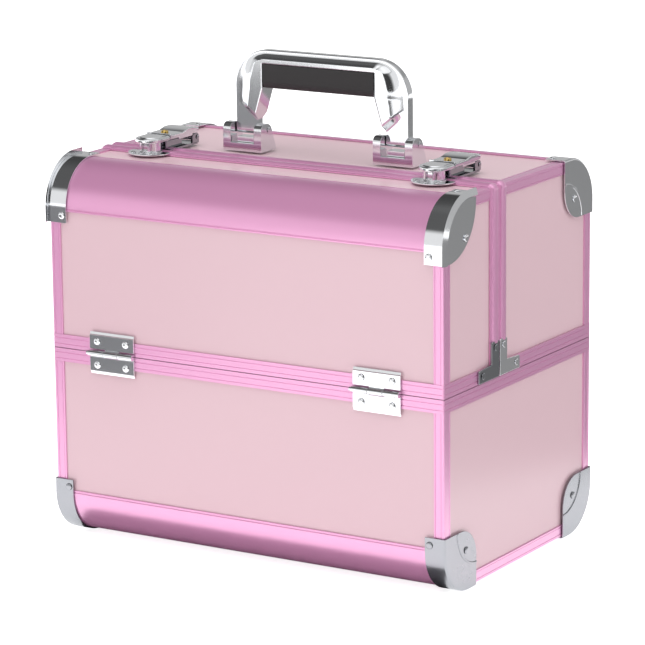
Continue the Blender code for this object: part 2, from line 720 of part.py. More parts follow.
# ---------------------------------------------------------------- latches
def latch_catch(name, side, parent):
    """The screwed plate, drum and rounded nose on the front lid."""
    centre = side * LATCH_X
    rear = SPLIT_Y - GAP - LATCH_PART_GAP
    drum_y = rear - LATCH_NOSE_LENGTH + LATCH_WIDTH / 2
    plate_high = TOP_PLATE + LATCH_SHEET
    plate_y = drum_y + CATCH_PLATE_OUT
    points = arc((centre, plate_y), CATCH_PLATE_RADIUS, 180, 360, steps=16)
    points += [(centre + CATCH_PLATE_TAIL, rear), (centre - CATCH_PLATE_TAIL, rear)]
    obj = outline(name, points, "Z", TOP_PLATE, plate_high)
    ends = ((centre, drum_y, plate_high - SHEET / 2), (centre, drum_y, COVER_LOW + SHEET / 2))
    join(obj, rods(name + "_drum", [(*ends, DRUM_RADIUS, DRUM_RADIUS)], sides=20))
    half = LATCH_WIDTH / 2
    nose = arc((centre, drum_y), half, 180, 360, steps=16)
    nose += [(centre + half, rear), (centre - half, rear)]
    join(obj, outline(name + "_nose", nose, "Z", COVER_LOW, COVER_HIGH - LATCH_RAISE))
    screws = []
    for turn in CATCH_SCREW_TURNS:
        x = centre + CATCH_SCREW_CIRCLE * math.cos(math.radians(turn))
        y = plate_y + CATCH_SCREW_CIRCLE * math.sin(math.radians(turn))
        ends = ((x, y, plate_high - SHEET / 2), (x, y, plate_high + SCREW_HEIGHT))
        screws.append((*ends, SCREW_RADIUS, SCREW_TOP_RADIUS))
    join(obj, rods(name + "_screws", screws))
    return keep(obj, "chrome", parent)


def latch_base(name, side, parent):
    """The plate, housing and rear ears on the rear lid that carry the lever."""
    centre = side * LATCH_X
    front = SPLIT_Y + GAP + LATCH_PART_GAP
    rear = LATCH_PIVOT_Y + LATCH_BASE_BACK
    half = LATCH_WIDTH / 2 - LATCH_BASE_INSET
    high = TOP_PLATE + LATCH_SHEET
    obj = box(name, (centre - half, front, TOP_PLATE), (centre + half, rear, high))
    housing_low = (centre - LATCH_HOUSING_HALF, front, high - SHEET / 2)
    housing_high = (centre + LATCH_HOUSING_HALF, LATCH_HOUSING_REAR, COVER_LOW - LATCH_HOUSING_GAP)
    join(obj, box(name + "_housing", housing_low, housing_high))
    ear_inner = half - LATCH_EAR
    for way in (-1, 1):
        ear = arc((LATCH_PIVOT_Y, LATCH_AXIS_Z), LATCH_EAR_ROUND, 0, 180, steps=8)
        ear.append((LATCH_PIVOT_Y - LATCH_EAR_ROUND, high - SHEET / 2))
        ear.append((LATCH_PIVOT_Y + LATCH_EAR_ROUND, high - SHEET / 2))
        low_x, high_x = centre + way * ear_inner, centre + way * half
        join(obj, outline(f"{name}_ear_{way}", ear, "X", min(low_x, high_x), max(low_x, high_x)))
    reach = half - LATCH_EAR / 2
    ends = ((centre - reach, LATCH_PIVOT_Y, LATCH_AXIS_Z), (centre + reach, LATCH_PIVOT_Y, LATCH_AXIS_Z))
    join(obj, rods(name + "_pin", [(*ends, LATCH_PIN, LATCH_PIN)]))
    return keep(obj, "chrome", parent)


def latch_lever(name, side, parent):
    """The lever cover with its raised middle, key bore and the knuckle it turns on."""
    centre = side * LATCH_X
    front = SPLIT_Y + GAP
    half = LATCH_WIDTH / 2
    rear = LATCH_PIVOT_Y + LATCH_LEVER_BACK
    flat_high = COVER_HIGH - LATCH_RAISE
    obj = box(name, (centre - half, front, COVER_LOW), (centre + half, rear, flat_high))
    raised_low = (centre - LATCH_RAISED_HALF, front + LATCH_RAISED_SETBACK, flat_high - SHEET / 2)
    raised_high = (centre + LATCH_RAISED_HALF, LATCH_RAISED_REAR, COVER_HIGH)
    join(obj, box(name + "_raised", raised_low, raised_high))
    knuckle_half = half - LATCH_BASE_INSET - LATCH_EAR - GAP
    knuckle = arc((LATCH_PIVOT_Y, LATCH_AXIS_Z), LATCH_EAR_ROUND, 180, 360, steps=8)
    knuckle.append((LATCH_PIVOT_Y + LATCH_EAR_ROUND, COVER_LOW + SHEET / 2))
    knuckle.append((LATCH_PIVOT_Y - LATCH_EAR_ROUND, COVER_LOW + SHEET / 2))
    join(obj, outline(name + "_knuckle", knuckle, "X", centre - knuckle_half, centre + knuckle_half))
    pin_radius = LATCH_PIN + LATCH_PIN_CLEARANCE
    ends = ((centre - half, LATCH_PIVOT_Y, LATCH_AXIS_Z), (centre + half, LATCH_PIVOT_Y, LATCH_AXIS_Z))
    cut(obj, rods(name + "_pin_bore", [(*ends, pin_radius, pin_radius)]))
    radius = KEY_RADIUS + KEY_BORE_CLEARANCE
    bore = ((centre, KEY_Y, COVER_LOW - OVER), (centre, KEY_Y, COVER_HIGH + OVER), radius, radius)
    cut(obj, rods(name + "_key_bore", [bore], sides=24))
    return keep(obj, "chrome", parent)


def key_cylinder(name, side, parent):
    """The brass lock cylinder with its key slot."""
    centre = side * LATCH_X
    high = COVER_HIGH + KEY_PROUD
    body = ((centre, KEY_Y, high - KEY_DEPTH), (centre, KEY_Y, high), KEY_RADIUS, KEY_RADIUS)
    obj = rods(name, [body], sides=24)
    slot_half = KEY_SLOT / 2
    slot_low = (centre - slot_half, KEY_Y - KEY_SLOT_REACH, high - KEY_SLOT_DEPTH)
    slot_high = (centre + slot_half, KEY_Y + KEY_SLOT_REACH, high + OVER)
    cut(obj, box(name + "_slot", slot_low, slot_high))
    return keep(obj, "brass", parent)


# ---------------------------------------------------------------- trays and arms
def arm_point(pivot_y, reach):
    """A point on a closed arm, which leans towards the split from its pivot."""
    lean = ARM_LEAN if pivot_y < SPLIT_Y else -ARM_LEAN
    return (pivot_y + reach * math.sin(lean), ARM_PIVOT_HEIGHT + reach * math.cos(lean))


def arm(name, side, pivot_y, parent):
    """A flat arm with a pin into the case's end and a pin into each tray."""
    foot = arm_point(pivot_y, 0.0)
    head = arm_point(pivot_y, ARM_LONG)
    lean = math.degrees(math.atan2(head[1] - foot[1], head[0] - foot[0]))
    points = arc(foot, ARM_HALF_WIDTH, lean + 90, lean + 270, steps=8)
    points += arc(head, ARM_HALF_WIDTH, lean - 90, lean + 90, steps=8)
    inner, outer = side * ARM_INNER, side * ARM_OUTER
    obj = outline(name, points, "X", min(inner, outer), max(inner, outer))
    seat = side * (SIDE_INSIDE + ARM_PIN_SEAT)
    middle = side * (ARM_INNER + ARM_OUTER) / 2
    pins = [((middle, *foot), (seat, *foot), ARM_PIN, ARM_PIN)]
    for reach in (ARM_SHORT, ARM_LONG):
        place = arm_point(pivot_y, reach)
        end = side * (TRAY_END - TRAY_WALL)
        pins.append(((middle, *place), (end, *place), ARM_PIN, ARM_PIN))
    join(obj, rods(name + "_pins", pins))
    return keep(obj, "steel", parent)


def tray(name, span, reach, pivots, parent):
    """An open tray hung on the pins of two arms at each end."""
    front, rear = span
    low = arm_point(pivots[0], reach)[1] - TRAY_PIN_RISE
    high = low + TRAY_HEIGHT
    obj = box(name, (-TRAY_END, front, low), (TRAY_END, rear, high))
    wall = TRAY_WALL
    room = ((-TRAY_END + wall, front + wall, low + wall), (TRAY_END - wall, rear - wall, high + OVER))
    cut(obj, box(name + "_room", *room))
    places = []
    radius = ARM_PIN + ARM_PIN_CLEARANCE
    for side in (-1, 1):
        for pivot_y in pivots:
            y, z = arm_point(pivot_y, reach)
            start = (side * (TRAY_END - wall - OVER), y, z)
            places.append((start, (side * (TRAY_END + OVER), y, z), radius, radius))
    cut(obj, rods(name + "_pin_holes", places))
    return keep(obj, "tray", parent)


# ---------------------------------------------------------------- assembly
def build_base():
    frame(BASE, None)
    holes = [(y, ARM_PIVOT_HEIGHT) for y in FRONT_ARM_PIVOTS + REAR_ARM_PIVOTS]
    for side in (-1, 1):
        end_board(BASE, side, None, holes)
    for face in ("front", "rear", "floor"):
        wall_board(BASE, face, None)
    roll("base_roll_front", BASE, (-1, -1), None)
    roll("base_roll_rear", BASE, (1, -1), None)
    for word, side in (("left", -1), ("right", 1)):
        for place, along in (("front", -1), ("rear", 1)):
            corner_cap(f"corner_cap_bottom_{place}_{word}", side, along, -1, None)
            hinge_leaf(f"hinge_lower_leaf_{place}_{word}", side * HINGE_X, along, -1, None)


def build_front_lid():
    axis = axis_empty("front_lid_axis", (0, -CASE_DEPTH / 2 - HINGE_OUT, SEAM_HEIGHT))
    frame(FRONT_LID, axis)
    wall_board(FRONT_LID, "front", axis)
    wall_board(FRONT_LID, "top", axis)
    roll("front_lid_roll", FRONT_LID, (-1, 1), axis)
    for word, side in (("left", -1), ("right", 1)):
        end_board(FRONT_LID, side, axis)
        corner_cap(f"corner_cap_top_front_{word}", side, -1, 1, axis)
        hinge_leaf(f"hinge_upper_leaf_front_{word}", side * HINGE_X, -1, 1, axis)
        latch_catch(f"latch_catch_{word}", side, axis)


def build_rear_lid():
    axis = axis_empty("rear_lid_axis", (0, CASE_DEPTH / 2 + HINGE_OUT, SEAM_HEIGHT))
    frame(REAR_LID, axis)
    wall_board(REAR_LID, "rear", axis)
    wall_board(REAR_LID, "top", axis)
    roll("rear_lid_roll", REAR_LID, (1, 1), axis)
    for word, side in (("left", -1), ("right", 1)):
        end_board(REAR_LID, side, axis)
        corner_cap(f"corner_cap_top_rear_{word}", side, 1, 1, axis)
        hinge_leaf(f"hinge_upper_leaf_rear_{word}", side * HINGE_X, 1, 1, axis)
        handle_bracket(f"handle_bracket_{word}", side, axis)
        latch_base(f"latch_base_{word}", side, axis)


def build_handle():
    axis = axis_empty("handle_axis", (0, HANDLE_Y, HANDLE_AXIS_Z))
    handle_bow(axis)
    handle_grip(axis)


def build_latches():
    for word, side in (("left", -1), ("right", 1)):
        centre = side * LATCH_X
        lever_axis = axis_empty(f"latch_axis_{word}", (centre, LATCH_PIVOT_Y, LATCH_AXIS_Z))
        latch_lever(f"latch_lever_{word}", side, lever_axis)
        key_axis = axis_empty(f"key_axis_{word}", (centre, KEY_Y, COVER_HIGH))
        key_cylinder(f"key_cylinder_{word}", side, key_axis)


def build_trays():
    halves = (("front", FRONT_ARM_PIVOTS, FRONT_TRAY_SPANS), ("rear", REAR_ARM_PIVOTS, REAR_TRAY_SPANS))
    for half, pivots, spans in halves:
        for place, pivot_y in zip(("outer", "inner"), pivots):
            axis = axis_empty(f"{half}_{place}_arm_axis", (0, pivot_y, ARM_PIVOT_HEIGHT))
            for word, side in (("left", -1), ("right", 1)):
                arm(f"{half}_{place}_arm_{word}", side, pivot_y, axis)
        for level, span, reach in zip(("upper", "lower"), spans, (ARM_LONG, ARM_SHORT)):
            pin_y, pin_z = arm_point(pivots[0], reach)
            axis = axis_empty(f"{half}_{level}_tray_axis", (0, pin_y, pin_z))
            tray(f"{half}_{level}_tray", span, reach, pivots, axis)


def main():
    global PARTS, CUTTERS
    clear_scene()
    PARTS = new_collection("makeup_train_case")
    CUTTERS = new_collection("cutters")
    build_base()
    build_front_lid()
    build_rear_lid()
    build_handle()
    build_latches()
    build_trays()


main()
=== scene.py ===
"""Looks of a makeup train case: edge bands, rolls, caps, hinges, handle, latches, trays and studio."""

import json
import math
from contextlib import contextmanager

import bmesh
import bpy
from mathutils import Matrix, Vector

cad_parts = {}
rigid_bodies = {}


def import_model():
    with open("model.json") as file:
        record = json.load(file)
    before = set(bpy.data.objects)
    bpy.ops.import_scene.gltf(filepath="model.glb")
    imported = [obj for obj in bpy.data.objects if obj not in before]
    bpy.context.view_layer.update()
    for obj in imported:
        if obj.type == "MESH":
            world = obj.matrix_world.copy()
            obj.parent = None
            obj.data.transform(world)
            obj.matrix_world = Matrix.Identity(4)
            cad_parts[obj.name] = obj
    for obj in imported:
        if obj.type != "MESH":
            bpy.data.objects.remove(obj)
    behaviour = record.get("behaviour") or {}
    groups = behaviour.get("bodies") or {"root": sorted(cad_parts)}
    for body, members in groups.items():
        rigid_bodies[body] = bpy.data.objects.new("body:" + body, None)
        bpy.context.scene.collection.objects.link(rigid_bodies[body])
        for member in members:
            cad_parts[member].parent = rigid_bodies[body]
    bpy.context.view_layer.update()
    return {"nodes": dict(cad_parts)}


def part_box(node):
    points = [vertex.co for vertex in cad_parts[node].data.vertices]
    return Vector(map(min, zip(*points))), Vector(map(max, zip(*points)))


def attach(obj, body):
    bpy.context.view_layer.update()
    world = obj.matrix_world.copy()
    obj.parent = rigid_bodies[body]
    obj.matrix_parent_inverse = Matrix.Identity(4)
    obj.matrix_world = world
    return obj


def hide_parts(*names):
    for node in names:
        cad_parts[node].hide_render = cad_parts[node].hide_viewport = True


bl_info = {
    "name": "Makeup Train Case",
    "version": (1, 0, 0),
    "blender": (4, 5, 0),
    "location": "View3D > Sidebar > Train Case",
    "description": "Models and finishes a makeup train case around its fixed frame",
    "category": "Object",
}

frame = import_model()
NODES = frame["nodes"]

# Places that the frame gives.
BASE_LOW, BASE_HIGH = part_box("base_frame")
LID_LOW, LID_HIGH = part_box("front_lid_frame")
HALF_WIDTH = BASE_HIGH.x
HALF_DEPTH = BASE_HIGH.y
CASE_FLOOR = BASE_LOW.z
RIM_LOW = BASE_HIGH.z
RIM_HIGH = LID_LOW.z
SEAM = (RIM_LOW + RIM_HIGH) / 2
CASE_TOP = LID_HIGH.z
SPLIT_FRONT = LID_HIGH.y
SPLIT_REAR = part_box("rear_lid_frame")[0].y
SIDES = (("left", -1), ("right", 1))
X, Y, Z = 0, 1, 2

# Sizes that several pieces share.
WELD = 0.000002  # vertices closer than this are one
CAP_STAND_OFF = 0.0003  # from the case's faces to a cap's inside
CAP_REACH = 0.0478  # how far a cap reaches from its corner
BAND_END_GAP = 0.0008  # from the end of an edge band to the rim's seam line
BAND_SPLIT_GAP = 0.0006  # from the end of an edge band to the split


# ---------------------------------------------------------------- what a user would change
def length(name, description, default):
    return bpy.props.FloatProperty(
        name=name,
        description=description,
        default=default,
        min=0.0,
        precision=4,
        subtype="DISTANCE",
        unit="LENGTH",
    )


def share(name, description, default, high=1.0):
    return bpy.props.FloatProperty(
        name=name, description=description, default=default, min=0.0, max=high, subtype="FACTOR"
    )


def angle(name, description, degrees):
    return bpy.props.FloatProperty(
        name=name,
        description=description,
        default=math.radians(degrees),
        subtype="ANGLE",
        unit="ROTATION",
    )


def colour(name, description, default):
    return bpy.props.FloatVectorProperty(
        name=name, description=description, default=default, size=3, min=0.0, max=1.0, subtype="COLOR"
    )


class CaseShapes(bpy.types.PropertyGroup):
    """Sizes of the bands, rolls and pressed metal of the case."""

    sheet: length("Sheet", "Thickness of the folded aluminium", 0.0012)
    wide_leg: length("Wide leg", "Width of an edge band on the front, top and rear", 0.0092)
    side_leg: length("Side leg", "Width of an edge band on the ends", 0.0098)
    band_inset: length("Band inset", "How far the edge bands lie under the rims", 0.0003)
    rib: length("Rib", "Depth of the grooves along the bands", 0.0004)
    corner_round: length("Corner round", "Radius of the long rounded edges", 0.0365)
    rim_width: length("Rim width", "Height of the rim on each side of the seam", 0.0108)
    rim_web: length("Rim web", "Width of the rim's inward flange", 0.0077)
    bead_width: length("Bead width", "Width of the half-round bead beside the split", 0.0080)
    bead_height: length("Bead height", "How far that bead stands up", 0.0021)
    split_width: length("Split width", "Width of the band beside the split", 0.0115)
    bead_turn: length("Bead turn", "Radius of the bead where it turns over the top edge", 0.0034)
    cap_sheet: length("Cap sheet", "Thickness of the pressed corner caps", 0.0010)
    cap_edge: length("Cap edge", "Radius between a cap's strip and its cheek", 0.0016)
    ridge: length("Ridge", "Radius of the wire-like ridge on the small caps", 0.0010)
    rivet_radius: length("Rivet radius", "Radius of the domed rivet heads", 0.0029)
    bow_half: length("Bow half width", "Half the width of the handle's bow", 0.0803)
    grip_edge: length("Grip edge", "Rounding of the grip's lower edges", 0.0066)


class CaseFinishes(bpy.types.PropertyGroup):
    """Colours and gloss of the case."""

    panel: colour("Panels", "Laminate of the boards", (0.770, 0.318, 0.372))
    anodised: colour("Bands", "Anodised aluminium of the bands and rolls", (0.80, 0.34, 0.60))
    chrome: colour("Chrome", "Plated metal of the fittings", (0.82, 0.83, 0.85))
    # The lower caps are chrome like the upper ones. This darker, rougher copy of the chrome is painted shade,
    # tuned to how the lower caps catch the light.
    satin: colour("Satin steel", "Pressed steel of the lower caps", (0.35, 0.36, 0.385))
    # A darker copy of the chrome. On the front joiners this darker tint is painted shade, since they are the
    # same chrome as the rear joiners.
    smoked: colour("Smoked chrome", "Latch base plates and the front joiners", (0.34, 0.35, 0.37))
    steel: colour("Steel", "Brushed steel of the tray arms", (0.50, 0.51, 0.53))
    brass: colour("Brass", "Lock cylinders", (0.80, 0.58, 0.20))
    grip: colour("Grip", "Moulded grip", (0.030, 0.030, 0.030))
    tray: colour("Trays", "Moulded trays", (0.022, 0.022, 0.024))
    panel_roughness: share("Panel roughness", "Roughness of the laminate", 0.42)
    band_roughness: share("Band roughness", "Roughness of the anodised metal", 0.34)
    chrome_roughness: share("Chrome roughness", "Roughness of the plated metal", 0.07)


class StudioSetup(bpy.types.PropertyGroup):
    """Camera, floor and lights."""

    azimuth: angle("Azimuth", "Camera's turn to the right of the front", 31.49)
    elevation: angle("Elevation", "Camera's height above the level", 13.02)
    roll: angle("Roll", "Camera's tilt about its line of sight", -0.58)
    distance: length("Distance", "Camera to the middle of the case", 2.780)
    target_height: length("Target height", "Height that the camera looks at", 0.1736)
    lens: bpy.props.FloatProperty(
        name="Lens", description="Focal length in millimetres", default=192.8, min=1.0
    )
    floor: colour("Floor", "Colour of the floor", (0.93, 0.93, 0.93))
    # This colour also paints the dark sheet under the case, which stands in for the floor's shade there
    # (painted shade).
    mat: colour("Mat", "Narrow dark mat beside the view, seen only as a reflection", (0.12, 0.12, 0.13))
    side_mat: colour("Side mat", "Grey mat to the right, seen only as a reflection", (0.22, 0.22, 0.22))
    glow: share("Floor glow", "Light that the floor gives by itself", 0.80, high=4.0)
    surround: share("Surround", "Brightness of the surround", 0.93, high=10.0)
    rear_light: share("Rear light", "Brightness of the surround's rear against its front", 0.55)
    light: share("Light", "Strength of the lights", 1.0, high=10.0)


# ---------------------------------------------------------------- modelling by hand
def select_only(obj):
    bpy.ops.object.select_all(action="DESELECT")
    obj.select_set(True)
    bpy.context.view_layer.objects.active = obj


@contextmanager
def editing(obj):
    """Edit mode on one object, with everything selected at the start."""
    select_only(obj)
    bpy.ops.object.mode_set(mode="EDIT")
    bpy.ops.mesh.select_all(action="SELECT")
    yield obj
    bpy.ops.object.mode_set(mode="OBJECT")


def block(name, low, high):
    """A block between two corners, its object left at the origin."""
    low = Vector(low)
    high = Vector(high)
    bpy.ops.object.select_all(action="DESELECT")
    bpy.ops.mesh.primitive_cube_add(size=1.0, location=(low + high) / 2, scale=high - low)
    obj = bpy.context.object
    obj.name = name
    bpy.ops.object.transform_apply(location=True, rotation=True, scale=True)
    return obj


def rod(centre, radius, depth, vertices, along_x=False):
    """A plain cylinder, upright or along x."""
    bpy.ops.object.select_all(action="DESELECT")
    bpy.ops.mesh.primitive_cylinder_add(
        vertices=vertices,
        radius=radius,
        depth=depth,
        location=centre,
        rotation=(0.0, math.pi / 2 if along_x else 0.0, 0.0),
    )
    obj = bpy.context.object
    bpy.ops.object.transform_apply(location=True, rotation=True, scale=True)
    return obj


def select_parts(obj, kind, test):
    """In edit mode, select the faces, edges or verts that pass a test. Returns how many."""
    bpy.ops.mesh.select_mode(type={"faces": "FACE", "edges": "EDGE", "verts": "VERT"}[kind])
    bpy.ops.mesh.select_all(action="DESELECT")
    mesh = bmesh.from_edit_mesh(obj.data)
    mesh.normal_update()
    count = 0
    for part in getattr(mesh, kind):
        if test(part):
            part.select_set(True)
            count += 1
    mesh.select_flush_mode()
    bmesh.update_edit_mesh(obj.data)
    return count


def pick(obj, kind, test):
    """As select_parts, but finding nothing is a mistake."""
    if not select_parts(obj, kind, test):
        raise RuntimeError(f"nothing to work on in {obj.name}")


def middle(part):
    if hasattr(part, "calc_center_median"):
        return part.calc_center_median()
    return sum((v.co for v in part.verts), Vector()) / len(part.verts)


def runs_along(edge, axis):
    step = edge.verts[1].co - edge.verts[0].co
    return abs(step[axis]) > 0.999 * step.length


def slice_at(axis, places):
    """In edit mode, cut everything across at places along an axis."""
    normal = [0.0, 0.0, 0.0]
    normal[axis] = 1.0
    for place in places:
        point = [0.0, 0.0, 0.0]
        point[axis] = place
        bpy.ops.mesh.select_mode(type="VERT")
        bpy.ops.mesh.select_all(action="SELECT")
        bpy.ops.mesh.bisect(plane_co=point, plane_no=normal)


def trim(axis, place, keep):
    """In edit mode, cut everything at a place and keep the low (-1) or high (+1) side, closed."""
    normal = [0.0, 0.0, 0.0]
    normal[axis] = float(-keep)
    point = [0.0, 0.0, 0.0]
    point[axis] = place
    bpy.ops.mesh.select_mode(type="VERT")
    bpy.ops.mesh.select_all(action="SELECT")
    bpy.ops.mesh.bisect(plane_co=point, plane_no=normal, clear_outer=True, use_fill=True)


def round_edges(obj, test, radius, steps):
    pick(obj, "edges", test)
    bpy.ops.mesh.bevel(offset=radius, segments=steps, affect="EDGES", clamp_overlap=False)


def tidy_mesh():
    """In edit mode, merge doubles and turn every face outwards."""
    bpy.ops.mesh.select_mode(type="VERT")
    bpy.ops.mesh.select_all(action="SELECT")
    bpy.ops.mesh.remove_doubles(threshold=WELD)
    bpy.ops.mesh.normals_make_consistent(inside=False)


def apply_modifier(obj, kind, **settings):
    select_only(obj)
    modifier = obj.modifiers.new(kind.title(), kind)
    for name, value in settings.items():
        setattr(modifier, name, value)
    bpy.ops.object.modifier_apply(modifier=modifier.name)


def soften(obj, width, steps=2, degrees=40.0):
    """A small round on every edge sharper than an angle."""
    apply_modifier(
        obj,
        "BEVEL",
        width=width,
        segments=steps,
        limit_method="ANGLE",
        angle_limit=math.radians(degrees),
        use_clamp_overlap=True,
    )


def combine(obj, tool, operation):
    """Cut, join or intersect with a tool, and remove the tool."""
    apply_modifier(obj, "BOOLEAN", operation=operation, solver="EXACT", object=tool)
    bpy.data.objects.remove(tool, do_unlink=True)


def merge(pieces, name):
    """Several pieces as one object."""
    bpy.ops.object.select_all(action="DESELECT")
    for piece in pieces:
        piece.select_set(True)
    bpy.context.view_layer.objects.active = pieces[0]
    bpy.ops.object.join()
    pieces[0].name = name
    return pieces[0]


def copy_of(obj, name):
    select_only(obj)
    bpy.ops.object.duplicate()
    copy = bpy.context.object
    copy.name = name
    return copy


def mirrored(obj, name, axis, about=0.0):
    """A copy with its own mesh, reflected across a plane."""
    copy = copy_of(obj, name)
    scale = [1.0, 1.0, 1.0]
    scale[axis] = -1.0
    shift = [0.0, 0.0, 0.0]
    shift[axis] = 2 * about
    with editing(copy):
        bpy.ops.transform.resize(value=scale, center_override=(0.0, 0.0, 0.0))
        bpy.ops.transform.translate(value=shift)
        bpy.ops.mesh.normals_make_consistent(inside=False)
    return copy


def start_line(name, points):
    """In a new object's edit mode, a line drawn point by point."""
    bpy.ops.object.select_all(action="DESELECT")
    bpy.ops.mesh.primitive_plane_add(size=0.01)
    obj = bpy.context.object
    obj.name = name
    bpy.ops.object.mode_set(mode="EDIT")
    bpy.ops.mesh.select_mode(type="VERT")
    bpy.ops.mesh.merge(type="CENTER")
    points = [Vector(point) for point in points]
    bpy.ops.transform.translate(value=points[0])
    for here, there in zip(points, points[1:]):
        bpy.ops.mesh.extrude_vertices_move(TRANSFORM_OT_translate={"value": there - here})
    return obj


def turn(centre, axis, degrees, steps):
    """In edit mode, spin what is selected about an axis, anticlockwise seen from its tip."""
    direction = [0.0, 0.0, 0.0]
    direction[axis] = 1.0
    bpy.ops.mesh.spin(steps=steps, angle=-math.radians(degrees), center=centre, axis=direction)


def sweep(name, section, path):
    """A closed section pulled along straight runs and round turns, its ends closed.

    path holds ("run", vector) and ("turn", centre, axis, degrees, steps).
    """
    obj = start_line(name, section)
    mesh = bmesh.from_edit_mesh(obj.data)
    mesh.verts.ensure_lookup_table()
    mesh.verts[0].select_set(True)
    bmesh.update_edit_mesh(obj.data)
    bpy.ops.mesh.edge_face_add()
    bpy.ops.mesh.select_mode(type="EDGE")
    bpy.ops.mesh.select_all(action="SELECT")
    for kind, *how in path:
        if kind == "run":
            bpy.ops.mesh.extrude_region_move(TRANSFORM_OT_translate={"value": how[0]})
        else:
            turn(*how)
    bpy.ops.mesh.edge_face_add()
    select_parts(obj, "edges", lambda edge: edge.is_boundary)
    bpy.ops.mesh.edge_face_add()
    tidy_mesh()
    bpy.ops.object.mode_set(mode="OBJECT")
    return obj


def turned(name, profile, centre, axis, steps=16):
    """A profile line spun once round an axis through centre."""
    obj = start_line(name, profile)
    bpy.ops.mesh.select_all(action="SELECT")
    turn(centre, axis, 360.0, steps)
    tidy_mesh()
    bpy.ops.object.mode_set(mode="OBJECT")
    return obj


def dome(name, foot, direction, radius, height):
    """A rivet head: a narrow neck, a full rim and a flattened crown."""
    foot = Vector(foot)
    axis = max(range(3), key=lambda k: abs(direction[k]))
    out = Vector(direction)
    side = Vector((0.0, 0.0, 0.0))
    side[(axis + 1) % 3] = 1.0
    rim = radius - 0.0007
    profile = [foot - out * 0.0004 + side * rim, foot + out * 0.00040 + side * rim]
    profile.append(foot + out * 0.00046 + side * radius)
    for degrees in range(8, 82, 12):
        turn_by = math.radians(degrees)
        lift = 0.00046 + (height - 0.00046) * math.sin(turn_by)
        profile.append(foot + out * lift + side * radius * math.cos(turn_by) ** 0.8)
    profile.append(foot + out * height)
    return turned(name, profile, foot, axis, 20)


def loft(name, rings):
    """A skin through closed rings of points, its ends closed."""
    mesh = bpy.data.meshes.new(name)
    obj = bpy.data.objects.new(name, mesh)
    bpy.context.scene.collection.objects.link(obj)
    work = bmesh.new()
    rows = [[work.verts.new(point) for point in ring] for ring in rings]
    count = len(rows[0])
    for here, there in zip(rows, rows[1:]):
        for k in range(count):
            after = (k + 1) % count
            work.faces.new((here[k], here[after], there[after], there[k]))
    work.faces.new(rows[0])
    work.faces.new(reversed(rows[-1]))
    work.to_mesh(mesh)
    work.free()
    with editing(obj):
        tidy_mesh()
    return obj


def arc(centre, radius, start, end, steps):
    """Points on a round stretch of a flat drawing."""
    points = []
    for step in range(steps + 1):
        turn_by = math.radians(start + (end - start) * step / steps)
        points.append((centre[0] + radius * math.cos(turn_by), centre[1] + radius * math.sin(turn_by)))
    return points


def finish_piece(obj, body, material, replaces=(), degrees=35.0):
    """Shade, paint and hang a finished piece."""
    select_only(obj)
    bpy.ops.object.shade_smooth_by_angle(angle=math.radians(degrees))
    apply_modifier(obj, "WEIGHTED_NORMAL", keep_sharp=True, weight=100)
    obj.data.materials.clear()
    obj.data.materials.append(material)
    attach(obj, body)
    if replaces:
        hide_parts(*replaces)
    return obj


# ---------------------------------------------------------------- finishes
def new_group(name, inputs, outputs):
    """A shader node group with named sockets, as (group, its input node, its output node)."""
    group = bpy.data.node_groups.new(name, "ShaderNodeTree")
    for socket, kind, default in inputs:
        made = group.interface.new_socket(name=socket, in_out="INPUT", socket_type=kind)
        if default is not None:
            made.default_value = default
    for socket, kind in outputs:
        group.interface.new_socket(name=socket, in_out="OUTPUT", socket_type=kind)
    return group, group.nodes.new("NodeGroupInput"), group.nodes.new("NodeGroupOutput")


def math_node(nodes, operation, *values):
    node = nodes.new("ShaderNodeMath")
    node.operation = operation
    for socket, value in zip(node.inputs, values):
        if value is not None:
            socket.default_value = value
    return node


def drawn_metal_group():
    """Fine lines along one direction, as drawn or brushed metal has, with slow cloudy patches."""
    group, given, out = new_group(
        "drawn_metal",
        (
            ("Place", "NodeSocketVector", None),
            ("Stretch", "NodeSocketVector", (4.0, 900.0, 900.0)),
            ("Depth", "NodeSocketFloat", 0.10),
            ("Base Roughness", "NodeSocketFloat", 0.30),
        ),
        (("Roughness", "NodeSocketFloat"), ("Height", "NodeSocketFloat"), ("Lines", "NodeSocketFloat")),
    )
    nodes, links = group.nodes, group.links
    scaled = nodes.new("ShaderNodeVectorMath")
    scaled.operation = "MULTIPLY"
    links.new(given.outputs["Place"], scaled.inputs[0])
    links.new(given.outputs["Stretch"], scaled.inputs[1])
    lines = nodes.new("ShaderNodeTexNoise")
    lines.inputs["Scale"].default_value = 1.0
    lines.inputs["Detail"].default_value = 3.0
    links.new(scaled.outputs[0], lines.inputs["Vector"])
    clouds = nodes.new("ShaderNodeTexNoise")
    clouds.inputs["Scale"].default_value = 14.0
    clouds.inputs["Detail"].default_value = 2.0
    links.new(given.outputs["Place"], clouds.inputs["Vector"])
    centred = math_node(nodes, "SUBTRACT", None, 0.5)
    links.new(lines.outputs["Fac"], centred.inputs[0])
    deep = math_node(nodes, "MULTIPLY")
    links.new(centred.outputs[0], deep.inputs[0])
    links.new(given.outputs["Depth"], deep.inputs[1])
    patch = math_node(nodes, "MULTIPLY_ADD", None, 0.05, -0.025)
    links.new(clouds.outputs["Fac"], patch.inputs[0])
    rough = math_node(nodes, "ADD")
    links.new(given.outputs["Base Roughness"], rough.inputs[0])
    links.new(deep.outputs[0], rough.inputs[1])
    total = math_node(nodes, "ADD")
    total.use_clamp = True
    links.new(rough.outputs[0], total.inputs[0])
    links.new(patch.outputs[0], total.inputs[1])
    links.new(total.outputs[0], out.inputs["Roughness"])
    links.new(lines.outputs["Fac"], out.inputs["Height"])
    links.new(lines.outputs["Fac"], out.inputs["Lines"])
    return group


